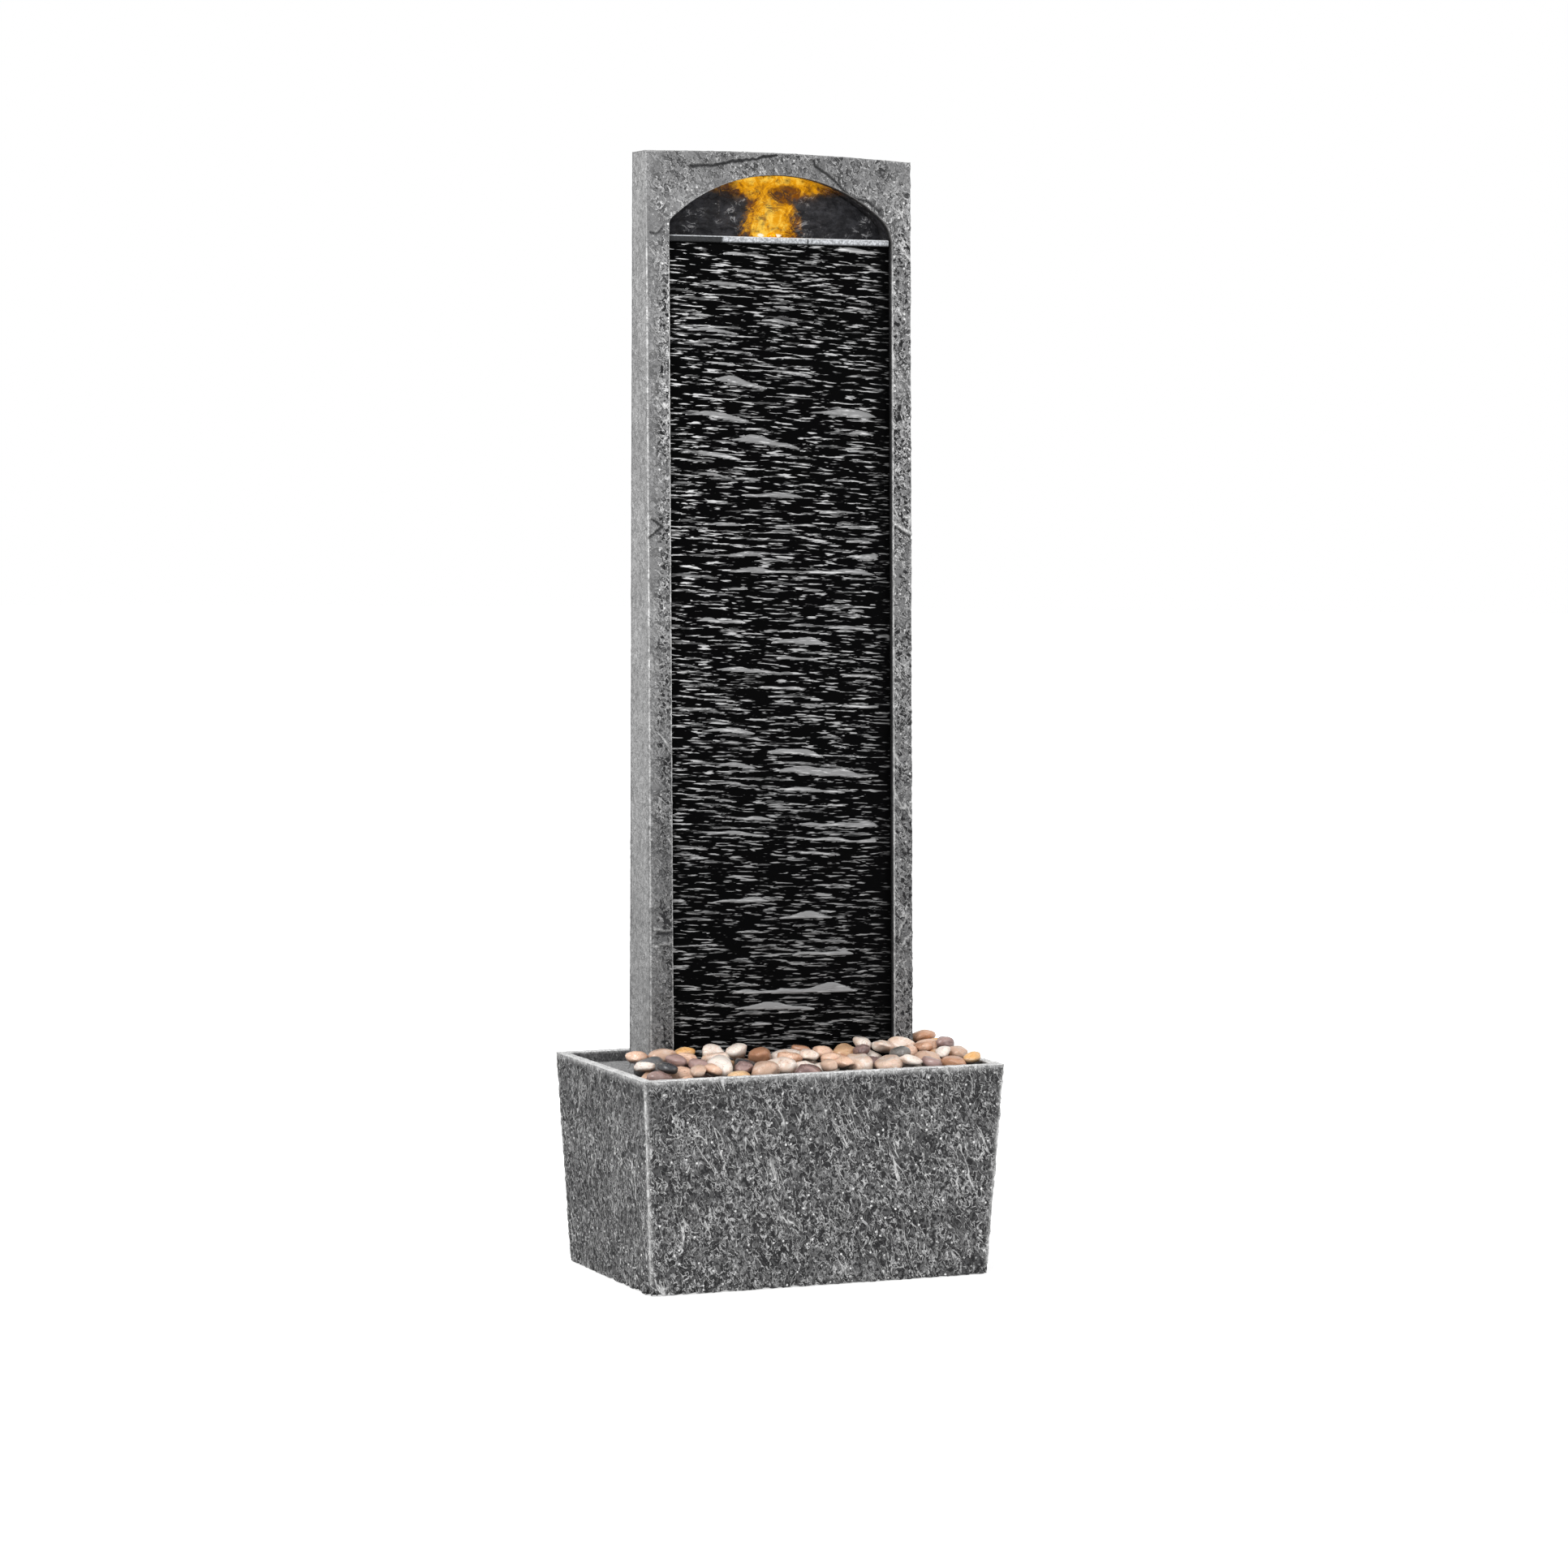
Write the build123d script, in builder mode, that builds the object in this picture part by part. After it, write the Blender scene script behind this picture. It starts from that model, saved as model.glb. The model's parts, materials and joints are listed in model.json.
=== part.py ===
from build123d import *
from math import atan2, cos, degrees, radians, sin, sqrt, tan
import os

import numpy as np

# Cascading garden fountain: a leaning stone-effect tower with an arched front stands on a deck inside a
# flared basin. A pump in the basin feeds a spill trough at the top of the tower through a riser hose. Water
# runs over the trough's lip, down the rippled panel and through the pebbles back into the basin.
# Millimetres. The origin is on the floor under the basin's centre, the front faces -Y and +Z is up.

# Basin
RIM_WIDTH = 340.0
RIM_DEPTH = 220.0
BASIN_HEIGHT = 187.0
BASIN_DRAFT = 3.25  # degrees that each wall leans out
BASIN_WALL = 10.0
BASIN_FLOOR = 10.0
BASIN_CORNER = 3.0
SHELF_REACH = 6.0  # shelf inside the walls, which carries the deck
SHELF_HEIGHT = 10.0

# Tower and its deck, one moulding
TOTAL_HEIGHT = 980.0
TOWER_WIDTH = 252.0
TOWER_BACK_Y = 38.0
TOWER_FOOT_DEPTH = 51.2
TOWER_TOP_DEPTH = 31.7
TOP_CROWN = 5.0  # rise of the bowed top edge
TOWER_EDGE = 2.0
SIDE_WALL = 8.0
FRONT_WALL = 8.0
TOP_WALL = 12.0
DECK_DROP = 9.5  # deck below the basin's rim
DECK_THICK = 8.0
DECK_GAP = 2.4  # round the deck, to the basin's walls
DECK_SEAT_GAP = 0.2
FOOT_COVE = 4.0
DRAIN_SLOT = (28.0, 4.0)
DRAIN_PITCH = (40.0, 20.0)
DRAIN_MARGIN = 14.0

# Arched opening
FRAME_SIDE = 20.0  # frame's width beside the opening
CROWN_DROP = 20.0  # arch's crown below the tower's top
ARCH_RADIUS = 150.0
ARCH_BLEND_LEFT = 8.0
ARCH_BLEND_RIGHT = 30.0

# Back panel and its screws
BACK_PANEL = 3.0
REBATE_LAP = 4.0
REBATE_GAP = 0.3
SCREW_SHANK = 3.0
SCREW_HEAD = 6.0
SCREW_HEAD_ANGLE = 82.0
SCREW_LENGTH = 12.0
SCREW_GAP = 0.1
SCREW_ROWS = 4
SCREW_END = 30.0  # first and last rows from the panel's ends
BOSS_DIAMETER = 9.0
BOSS_BITE = 2.0  # boss sunk into the side wall
BOSS_LENGTH = 14.0

# Cascade panel
PLATE = 4.0
PLATE_SIDE_GAP = 4.0  # to the tower's side walls
SEAT_GAP = 0.2  # between pieces that seat flat on each other
RIPPLE_PITCH = 9.0
RIPPLE_RISE = 3.0  # highest ripple over the plate
RIPPLE_VARY = 1.5  # how much lower the lowest ripple is
RIPPLE_VALLEY = 0.4
RIPPLE_SIDE_GAP = 0.6
RIPPLE_BEAT = 2.4  # radians from one ripple's rise to the next

# Spill trough, its lip and the niche behind the arch
LIP_DROP = 53.5  # lip's top below the arch's crown
LIP_THICK = 5.5
LIP_SETBACK = 4.5  # lip behind the tower's front face
LIP_ROUND = 1.5
TROUGH_DEPTH = 34.0
TROUGH_WALL = 2.2
TROUGH_END_GAP = 1.0
TROUGH_PANEL_GAP = 0.4
LEDGE_DROP = 8.0
LEDGE_REACH = 9.0
LINER_WALL = 2.4
LINER_GROW = 1.0  # liner's inside past the opening's edge

# Light in the trough
LED_BODY = 9.2
LED_WALL = 0.9
LED_SHOULDER = 0.8  # ledge in the housing that carries the board
LED_FLOOR = 2.0
LED_TOP_RISE = 0.5  # housing's top over the lip
LED_SPIGOT = 6.4
LED_SPIGOT_DROP = 8.0
LED_WASHER = 1.0
LED_NUT = 4.0
LED_NUT_FLATS = 10.0
LENS_PLUG = 3.0
BOARD_THICK = 1.6
LED_GAP = 0.1
LEAD_DIAMETER = 3.6
LEAD_GAP = 0.1
LEAD_BEND = 60.0  # height of each of the lead's two shifts towards the back panel
LEAD_BEND_RADIUS = 180.0
LEAD_FOOT = 40.0  # lower shift over the deck

# Riser hose and its fittings
RISER_X = -60.0
HOSE_BORE = 8.0
HOSE_WALL = 1.5
TAIL_GAP = 0.1
TAIL_WALL = 1.3
TAIL_LENGTH = 18.0
INLET_STAND = 9.0
INLET_FLANGE = 1.6
INLET_FLANGE_LAP = 1.3
INLET_WASHER = 1.0
INLET_NUT = 5.0
INLET_NUT_FLATS = 12.0
HOSE_NUT_GAP = 2.0
HOSE_CLIP_WIDTH = 7.0
HOSE_CLIP_WALL = 0.9
HOSE_CLIP_EAR = 5.0
HOSE_CLIP_SLIT = 0.9  # between the clip's two ears
HOSE_CLIP_GAP = 0.1

# Pump on the basin's floor
PUMP_LENGTH = 58.0
PUMP_WIDTH = 42.0
PUMP_HEIGHT = 40.0
PUMP_ROUND = 5.0
CUP_HEIGHT = 8.0
CUP_RADIUS = 8.0
CUP_NECK = 4.0
CUP_EDGE = 1.0
CUP_HOLLOW = 2.5
CUP_STUD = 4.0
CUP_STUD_LENGTH = 3.0
CUP_INSET = 9.0
CUP_GAP = 0.1
CHAMBER_RADIUS = 16.0
CHAMBER_DEPTH = 22.0
CHAMBER_WALL = 3.0
COVER_FRONT = 4.0
COVER_FLANGE = 4.0
ROTOR_PLAY = 1.0
EYE_RADIUS = 8.0
SPIDER_ARM = 2.0
BUSH_RADIUS = 3.4
BUSH_LENGTH = 4.0
SHAFT_DIAMETER = 3.0
RUNNING_GAP = 0.05
MAGNET_RADIUS = 9.5
MAGNET_GAP = 0.7
MAGNET_LENGTH = 36.0
IMPELLER_RADIUS = 14.0
IMPELLER_HUB = 4.5
IMPELLER_VANES = 6
VANE_THICK = 1.4
VANE_HEIGHT = 12.0
SEAL_SECTION = 1.8
SEAL_RADIUS = 17.6
SEAL_GAP = 0.1
OUTLET_SOCKET = 6.0
OUTLET_WALL = 2.0
OUTLET_FLANGE = 2.0
COVER_SCREW = 3.0
COVER_SCREW_HEAD = 5.4
COVER_SCREW_HEAD_HEIGHT = 2.0
COVER_SCREW_LENGTH = 10.0
COVER_SCREW_INSET = 3.8
STRAINER_LENGTH = 16.0
STRAINER_WALL = 2.0
STRAINER_LAP = 5.0
STRAINER_GAP = 0.2
STRAINER_SLOTS = 16
STRAINER_SLOT = 2.4
STRAINER_RIM = 3.0  # unslotted band at each end of the slots
WINDOW_RADIUS = 3.0
WINDOW_RING = 10.0
WINDOWS = 3
DIAL_RADIUS = 15.0
DIAL_THICK = 2.5
DIAL_STEM = 2.5
DIAL_GRIP = (12.0, 3.0, 4.0)
DIAL_SNAP = 0.8
DIAL_GAP = 0.2
SOCKET_RADIUS = 5.5
SOCKET_HEIGHT = 14.0
SOCKET_FOOT = 3.0
SOCKET_FOOT_RADIUS = 4.0
PLUG_RADIUS = 3.4
PLUG_DEPTH = 9.0
PLUG_GRIP_RADIUS = 4.6
PLUG_GRIP = 14.0
PLUG_GAP = 0.3
GLAND_RADIUS = 5.5
GLAND_FOOT_RADIUS = 4.5
GLAND_FOOT = 3.0
GLAND_LENGTH = 9.0
GLAND_BORE = 3.2
GLAND_RISE = 8.0  # over the pump's axis

# Cord outlet in the basin's back wall
OUTLET_BORE = 3.5
OUTLET_BODY = 6.5
OUTLET_LIP = 9.5
OUTLET_LIP_THICK = 2.0
OUTLET_BELOW_RIM = 50.0
OUTLET_GAP = 0.1

# Lead clips on the back panel
LEAD_CLIPS = 4
LEAD_CLIP_SIZE = (9.0, 7.0)
LEAD_BACK_GAP = 1.6  # from the lead to the back panel

# Pebbles
PEBBLE_SEED = 11
PEBBLE_TRIES = 320
PEBBLE_PLACES = 120  # places looked at for each pebble; it takes the lowest
PEBBLE_LENGTH = (18.0, 35.0)
PEBBLE_WIDTH = (0.60, 0.82)  # shares of the length
PEBBLE_THICK = (0.46, 0.62)
PEBBLE_TILT = 16.0
PEBBLE_GAP = 0.5
PEBBLE_CELL = 0.5
HEAP_FRONT = 17.5  # heap's height over the deck at the front wall
HEAP_BACK = 29.0  # and against the tower
HEAP_RIGHT_END_Y = 22.0
HEAP_LEFT_END_Y = -22.0
PEBBLE_COLOURS = {"tan": 0.33, "cream": 0.32, "amber": 0.13, "mauve": 0.10, "slate": 0.12}

# Places worked out from the sizes
DECK_TOP = BASIN_HEIGHT - DECK_DROP
DECK_UNDER = DECK_TOP - DECK_THICK
SEAT_TOP = DECK_UNDER - DECK_SEAT_GAP
SHELF_UNDER = SEAT_TOP - SHELF_HEIGHT
FRONT_FOOT_Y = TOWER_BACK_Y - TOWER_FOOT_DEPTH
LEAN = atan2(TOWER_FOOT_DEPTH - TOWER_TOP_DEPTH, TOTAL_HEIGHT - DECK_TOP)
TOP_CORNER = TOTAL_HEIGHT - TOP_CROWN
CAVITY_TOP = TOTAL_HEIGHT - TOP_WALL
CAVITY_HALF = TOWER_WIDTH / 2 - SIDE_WALL
PANEL_FACE_Y = TOWER_BACK_Y - BACK_PANEL
OPENING_HALF = TOWER_WIDTH / 2 - FRAME_SIDE
ARCH_CROWN = TOTAL_HEIGHT - CROWN_DROP
LIP_TOP = ARCH_CROWN - LIP_DROP
PLATE_FRONT = FRONT_WALL + SEAT_GAP  # depths behind the tower's front face
PLATE_BACK = PLATE_FRONT + PLATE
LIP_UNDER = LIP_TOP - LIP_THICK
TROUGH_UNDER = LIP_TOP - TROUGH_DEPTH
TROUGH_FLOOR = TROUGH_UNDER + TROUGH_WALL
TROUGH_HALF = CAVITY_HALF - TROUGH_END_GAP
LINER_BACK_Y = PANEL_FACE_Y - SEAT_GAP
TROUGH_BACK_Y = LINER_BACK_Y - LINER_WALL - SEAT_GAP


def face_y(z, depth):
    """Y of the point at height z that lies depth behind the leaning front face."""
    return FRONT_FOOT_Y + (z - DECK_TOP) * tan(LEAN) + depth / cos(LEAN)


def up_face(z):
    """Distance up the leaning face, from the deck to height z."""
    return (z - DECK_TOP) / cos(LEAN)


def wall_half(half, z):
    """Half width of a drafted wall at height z, given its half width at the rim."""
    return half - (BASIN_HEIGHT - z) * tan(radians(BASIN_DRAFT))


TROUGH_FRONT_Y = face_y(LIP_TOP, PLATE_BACK) + TROUGH_PANEL_GAP
RISER_Y = (TROUGH_FRONT_Y + TROUGH_BACK_Y) / 2
INNER_HALF_X = RIM_WIDTH / 2 - BASIN_WALL
INNER_HALF_Y = RIM_DEPTH / 2 - BASIN_WALL
PUMP_UNDER = BASIN_FLOOR + CUP_HEIGHT
PUMP_TOP = PUMP_UNDER + PUMP_HEIGHT
PUMP_AXIS_Z = PUMP_UNDER + PUMP_HEIGHT / 2
COVER_LENGTH = CHAMBER_DEPTH + COVER_FRONT
COVER_BACK_X = RISER_X + CHAMBER_DEPTH / 2
PUMP_BACK_X = COVER_BACK_X + PUMP_LENGTH
HOSE_INNER = HOSE_BORE / 2
HOSE_OUTER = HOSE_INNER + HOSE_WALL
TAIL_OUTER = HOSE_INNER - TAIL_GAP
TAIL_INNER = TAIL_OUTER - TAIL_WALL
OUTLET_TOP = PUMP_AXIS_Z + CHAMBER_RADIUS + CHAMBER_WALL + OUTLET_SOCKET
HOSE_BOTTOM = OUTLET_TOP + OUTLET_FLANGE + SEAT_GAP
HOSE_TOP = TROUGH_UNDER - SEAT_GAP - INLET_NUT - HOSE_NUT_GAP

front_plane = Plane(origin=(0, FRONT_FOOT_Y, DECK_TOP), x_dir=(1, 0, 0), z_dir=(0, -cos(LEAN), sin(LEAN)))
rim_down = Plane(origin=(0, 0, BASIN_HEIGHT), x_dir=(1, 0, 0), z_dir=(0, 0, -1))
deck_down = Plane(origin=(0, 0, DECK_TOP), x_dir=(1, 0, 0), z_dir=(0, 0, -1))
seat_down = Plane(origin=(0, 0, SEAT_TOP), x_dir=(1, 0, 0), z_dir=(0, 0, -1))
shelf_down = Plane(origin=(0, 0, SHELF_UNDER), x_dir=(1, 0, 0), z_dir=(0, 0, -1))
back_plane = Plane.XZ.offset(-TOWER_BACK_Y)
panel_plane = Plane.XZ.offset(-PANEL_FACE_Y)
pump_front = Plane(origin=(COVER_BACK_X, RISER_Y, PUMP_AXIS_Z), x_dir=(0, -1, 0), z_dir=(-1, 0, 0))
outlet_plane = Plane(
    origin=(0, wall_half(RIM_DEPTH / 2, BASIN_HEIGHT - OUTLET_BELOW_RIM), BASIN_HEIGHT - OUTLET_BELOW_RIM),
    x_dir=(1, 0, 0),
    z_dir=(0, cos(radians(BASIN_DRAFT)), -sin(radians(BASIN_DRAFT))),
)


def arch_outline(grow, bottom, rise):
    """Add the opening's outline to the current sketch, grown all round, with its heights mapped by rise."""
    half = OPENING_HALF + grow
    radius = ARCH_RADIUS + grow
    springing = rise(ARCH_CROWN + grow - radius + sqrt(radius**2 - half**2))
    crown = rise(ARCH_CROWN + grow)
    with BuildLine() as outline:
        Polyline((-half, springing), (-half, bottom), (half, bottom), (half, springing))
        ThreePointArc((half, springing), (0, crown), (-half, springing))
    make_face(outline.edges())


def blend_springing(sketch, grow):
    """Round the two corners where an arched outline leaves its straight sides."""
    fillet(sketch.vertices().group_by(Axis.X)[0].sort_by(Axis.Y)[-1], ARCH_BLEND_LEFT + grow)
    fillet(sketch.vertices().group_by(Axis.X)[-1].sort_by(Axis.Y)[-1], ARCH_BLEND_RIGHT + grow)


def save(part, name):
    """Label a finished sub-part and write its STEP file."""
    part.label = name
    export_step(part, f"parts/{name}.step")


os.makedirs("parts", exist_ok=True)

# Basin: flared tub with a shelf for the deck inside its walls and a hole for the cord outlet
with BuildPart() as basin:
    with BuildSketch(rim_down):
        Rectangle(RIM_WIDTH, RIM_DEPTH)
    extrude(amount=BASIN_HEIGHT, taper=BASIN_DRAFT)
    uprights = basin.edges().filter_by(lambda edge: abs(edge.tangent_at(0.5).Z) > 0.5)
    fillet(uprights, BASIN_CORNER)
    with BuildSketch(rim_down):
        Rectangle(2 * INNER_HALF_X, 2 * INNER_HALF_Y)
    extrude(amount=BASIN_HEIGHT - SEAT_TOP, taper=BASIN_DRAFT, mode=Mode.SUBTRACT)
    with BuildSketch(seat_down):
        Rectangle(
            2 * (wall_half(INNER_HALF_X, SEAT_TOP) - SHELF_REACH),
            2 * (wall_half(INNER_HALF_Y, SEAT_TOP) - SHELF_REACH),
        )
    extrude(amount=SHELF_HEIGHT, taper=BASIN_DRAFT, mode=Mode.SUBTRACT)
    with BuildSketch(shelf_down):
        Rectangle(2 * wall_half(INNER_HALF_X, SHELF_UNDER), 2 * wall_half(INNER_HALF_Y, SHELF_UNDER))
    extrude(amount=SHELF_UNDER - BASIN_FLOOR, taper=BASIN_DRAFT, mode=Mode.SUBTRACT)
    with BuildSketch(outlet_plane):
        Circle(OUTLET_BODY)
    extrude(amount=BASIN_WALL, both=True, mode=Mode.SUBTRACT)
save(basin.part, "basin")

# Cord outlet: a rubber sleeve with a lip on each side of the wall
with BuildPart() as cord_grommet:
    with BuildSketch(outlet_plane.offset(OUTLET_LIP_THICK + OUTLET_GAP)):
        Circle(OUTLET_LIP)
    extrude(amount=-OUTLET_LIP_THICK)
    with BuildSketch(outlet_plane.offset(OUTLET_LIP_THICK)):
        Circle(OUTLET_BODY - OUTLET_GAP)
    extrude(amount=-(BASIN_WALL + 2 * OUTLET_LIP_THICK))
    with BuildSketch(outlet_plane.offset(-BASIN_WALL - OUTLET_GAP)):
        Circle(OUTLET_LIP)
    extrude(amount=-OUTLET_LIP_THICK)
    with BuildSketch(outlet_plane.offset(2 * OUTLET_LIP_THICK)):
        Circle(OUTLET_BORE)
    extrude(amount=-(BASIN_WALL + 5 * OUTLET_LIP_THICK), mode=Mode.SUBTRACT)
save(cord_grommet.part, "cord_grommet")

# Tower shell: leaning front with its arch, side walls, bowed top, deck, bosses and trough ledges
BOSS_X = CAVITY_HALF + BOSS_BITE - BOSS_DIAMETER / 2
PANEL_TOP = CAVITY_TOP + REBATE_LAP
ROW_STEP = (PANEL_TOP - DECK_TOP - 2 * SCREW_END) / (SCREW_ROWS - 1)
BOSS_MID = (PANEL_TOP + DECK_TOP) / 2
PASS_FRONT_Y = face_y(DECK_TOP, PLATE_BACK) + SEAT_GAP
PASS_BACK_Y = PANEL_FACE_Y - LEAD_BACK_GAP
PASS_HALF = CAVITY_HALF - BOSS_DIAMETER
DECK_HALF_X = wall_half(INNER_HALF_X, DECK_TOP) - DECK_GAP
DECK_HALF_Y = wall_half(INNER_HALF_Y, DECK_TOP) - DECK_GAP
with BuildPart() as tower_shell:
    with BuildSketch(back_plane):
        with BuildLine():
            Polyline(
                (-TOWER_WIDTH / 2, TOP_CORNER),
                (-TOWER_WIDTH / 2, DECK_TOP),
                (TOWER_WIDTH / 2, DECK_TOP),
                (TOWER_WIDTH / 2, TOP_CORNER),
            )
            ThreePointArc(
                (TOWER_WIDTH / 2, TOP_CORNER), (0, TOTAL_HEIGHT), (-TOWER_WIDTH / 2, TOP_CORNER)
            )
        make_face()
    extrude(amount=TOWER_FOOT_DEPTH)
    split(bisect_by=front_plane, keep=Keep.BOTTOM)
    front_edges = tower_shell.faces().sort_by(Axis.Y)[0].edges().sort_by(Axis.Z)[1:]
    fillet(front_edges, TOWER_EDGE)
    with BuildSketch(Plane.YZ):
        with BuildLine():
            Polyline(
                (face_y(DECK_TOP, FRONT_WALL), DECK_TOP),
                (face_y(CAVITY_TOP, FRONT_WALL), CAVITY_TOP),
                (TOWER_BACK_Y, CAVITY_TOP),
                (TOWER_BACK_Y, DECK_TOP),
                close=True,
            )
        make_face()
    extrude(amount=CAVITY_HALF, both=True, mode=Mode.SUBTRACT)
    with BuildSketch(back_plane):
        with Locations((0, BOSS_MID)):
            Rectangle(2 * (CAVITY_HALF + REBATE_LAP), PANEL_TOP - DECK_TOP)
    extrude(amount=BACK_PANEL, mode=Mode.SUBTRACT)
    with BuildSketch(front_plane) as opening:
        arch_outline(0, 0, up_face)
        blend_springing(opening, 0)
    extrude(amount=-FRONT_WALL, mode=Mode.SUBTRACT)
    with BuildSketch(deck_down):
        Rectangle(2 * DECK_HALF_X, 2 * DECK_HALF_Y)
    extrude(amount=DECK_THICK, taper=BASIN_DRAFT)
    foot_edges = (
        tower_shell.edges()
        .filter_by(Axis.Y)
        .filter_by_position(Axis.Z, DECK_TOP - SEAT_GAP, DECK_TOP + SEAT_GAP)
        .filter_by(lambda edge: abs(abs(edge.center().X) - TOWER_WIDTH / 2) < SEAT_GAP)
    )
    fillet(foot_edges, FOOT_COVE)
    with BuildSketch(Plane.XY.offset(DECK_TOP)):
        with Locations((0, (PASS_FRONT_Y + PASS_BACK_Y) / 2)):
            Rectangle(2 * PASS_HALF, PASS_BACK_Y - PASS_FRONT_Y)
    extrude(amount=-DECK_THICK, mode=Mode.SUBTRACT)
    slot_columns = int((TOWER_WIDTH - DRAIN_SLOT[0]) / DRAIN_PITCH[0]) + 1
    slot_span = FRONT_FOOT_Y + DECK_HALF_Y - 2 * DRAIN_MARGIN
    slot_rows = int(slot_span / DRAIN_PITCH[1]) + 1
    with BuildSketch(Plane.XY.offset(DECK_TOP)):
        with Locations((0, (FRONT_FOOT_Y - DECK_HALF_Y) / 2)):
            with GridLocations(DRAIN_PITCH[0], DRAIN_PITCH[1], slot_columns, slot_rows):
                SlotOverall(*DRAIN_SLOT)
    extrude(amount=-DECK_THICK, mode=Mode.SUBTRACT)
    with BuildSketch(panel_plane):
        with Locations((0, BOSS_MID)):
            with GridLocations(2 * BOSS_X, ROW_STEP, 2, SCREW_ROWS):
                Circle(BOSS_DIAMETER / 2)
    extrude(amount=BOSS_LENGTH)
    with BuildSketch(panel_plane):
        with Locations((0, BOSS_MID)):
            with GridLocations(2 * BOSS_X, ROW_STEP, 2, SCREW_ROWS):
                Circle(SCREW_SHANK / 2 + SCREW_GAP)
    extrude(amount=BOSS_LENGTH, mode=Mode.SUBTRACT)
    with BuildSketch(Plane.XY.offset(TROUGH_UNDER - SEAT_GAP)):
        with Locations((0, (TROUGH_FRONT_Y + TROUGH_BACK_Y) / 2)):
            with GridLocations(2 * CAVITY_HALF - LEDGE_REACH, 1, 2, 1):
                Rectangle(LEDGE_REACH, TROUGH_BACK_Y - TROUGH_FRONT_Y)
    extrude(amount=-LEDGE_DROP)
save(tower_shell.part, "tower_shell")

# Back panel: a plate in the rebate, countersunk for its screws
outer_face = Plane(origin=(0, TOWER_BACK_Y, BOSS_MID), x_dir=(-1, 0, 0), z_dir=(0, 1, 0))
with BuildPart() as tower_back_panel:
    with BuildSketch(panel_plane):
        with Locations((0, BOSS_MID)):
            Rectangle(
                2 * (CAVITY_HALF + REBATE_LAP - REBATE_GAP), PANEL_TOP - DECK_TOP - 2 * REBATE_GAP
            )
    extrude(amount=-BACK_PANEL)
    with Locations(outer_face):
        with GridLocations(2 * BOSS_X, ROW_STEP, 2, SCREW_ROWS):
            CounterSinkHole(
                SCREW_SHANK / 2 + SCREW_GAP, SCREW_HEAD / 2 + SCREW_GAP, BACK_PANEL, SCREW_HEAD_ANGLE
            )
save(tower_back_panel.part, "tower_back_panel")

# Back panel screws: countersunk heads flush with the panel
HEAD_DROP = (SCREW_HEAD - SCREW_SHANK) / 2 / tan(radians(SCREW_HEAD_ANGLE / 2))
with BuildPart() as back_panel_screws:
    with Locations(outer_face):
        with GridLocations(2 * BOSS_X, ROW_STEP, 2, SCREW_ROWS):
            Cone(
                SCREW_SHANK / 2, SCREW_HEAD / 2, HEAD_DROP, align=(Align.CENTER, Align.CENTER, Align.MAX)
            )
            Cylinder(SCREW_SHANK / 2, SCREW_LENGTH, align=(Align.CENTER, Align.CENTER, Align.MAX))
save(back_panel_screws.part, "back_panel_screws")

# Cascade panel: a plate behind the frame, with a face of rolling ripples in the opening
RIPPLE_HALF = OPENING_HALF - RIPPLE_SIDE_GAP
PLATE_FOOT = PLATE_BACK * tan(LEAN) + SEAT_GAP
PLATE_HEAD = up_face(LIP_UNDER) - SEAT_GAP
RIPPLES = round((PLATE_HEAD - PLATE_FOOT) / RIPPLE_PITCH)
RIPPLE_STEP = (PLATE_HEAD - PLATE_FOOT) / RIPPLES
ripple_plane = Plane(origin=front_plane.origin, x_dir=front_plane.z_dir, z_dir=(-1, 0, 0))
with BuildPart() as cascade_panel:
    with BuildSketch(front_plane.offset(-PLATE_FRONT)):
        with Locations((0, (PLATE_FOOT + PLATE_HEAD) / 2)):
            Rectangle(2 * (CAVITY_HALF - PLATE_SIDE_GAP), PLATE_HEAD - PLATE_FOOT)
    extrude(amount=-PLATE)
    with BuildSketch(ripple_plane):
        with BuildLine():
            valley = RIPPLE_VALLEY - PLATE_FRONT
            for row in range(RIPPLES):
                low = PLATE_FOOT + row * RIPPLE_STEP
                crest = RIPPLE_RISE - RIPPLE_VARY * (1 - sin(RIPPLE_BEAT * row)) / 2 - PLATE_FRONT
                ThreePointArc((valley, low), (crest, low + RIPPLE_STEP / 2), (valley, low + RIPPLE_STEP))
            Polyline(
                (valley, PLATE_HEAD),
                (-PLATE_FRONT - PLATE / 2, PLATE_HEAD),
                (-PLATE_FRONT - PLATE / 2, PLATE_FOOT),
                (valley, PLATE_FOOT),
            )
        make_face()
    extrude(amount=RIPPLE_HALF, both=True)
save(cascade_panel.part, "cascade_panel")

# Niche liner: a hooded back for the arch, standing over the trough
LINER_FOOT = LIP_TOP + SEAT_GAP
with BuildPart() as niche_liner:
    with BuildSketch(Plane.XZ.offset(-LINER_BACK_Y)) as hood:
        arch_outline(LINER_GROW + LINER_WALL, TROUGH_UNDER, float)
        blend_springing(hood, LINER_GROW + LINER_WALL)
    extrude(amount=LINER_BACK_Y - FRONT_FOOT_Y)
    with BuildSketch(Plane.XZ.offset(LINER_WALL - LINER_BACK_Y)) as hollow:
        arch_outline(LINER_GROW, TROUGH_UNDER, float)
        blend_springing(hollow, LINER_GROW)
    extrude(amount=LINER_BACK_Y - FRONT_FOOT_Y, mode=Mode.SUBTRACT)
    split(bisect_by=front_plane.offset(-FRONT_WALL - SEAT_GAP), keep=Keep.BOTTOM)
    split(bisect_by=Plane.XY.offset(LINER_FOOT), keep=Keep.TOP)
save(niche_liner.part, "niche_liner")

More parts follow.
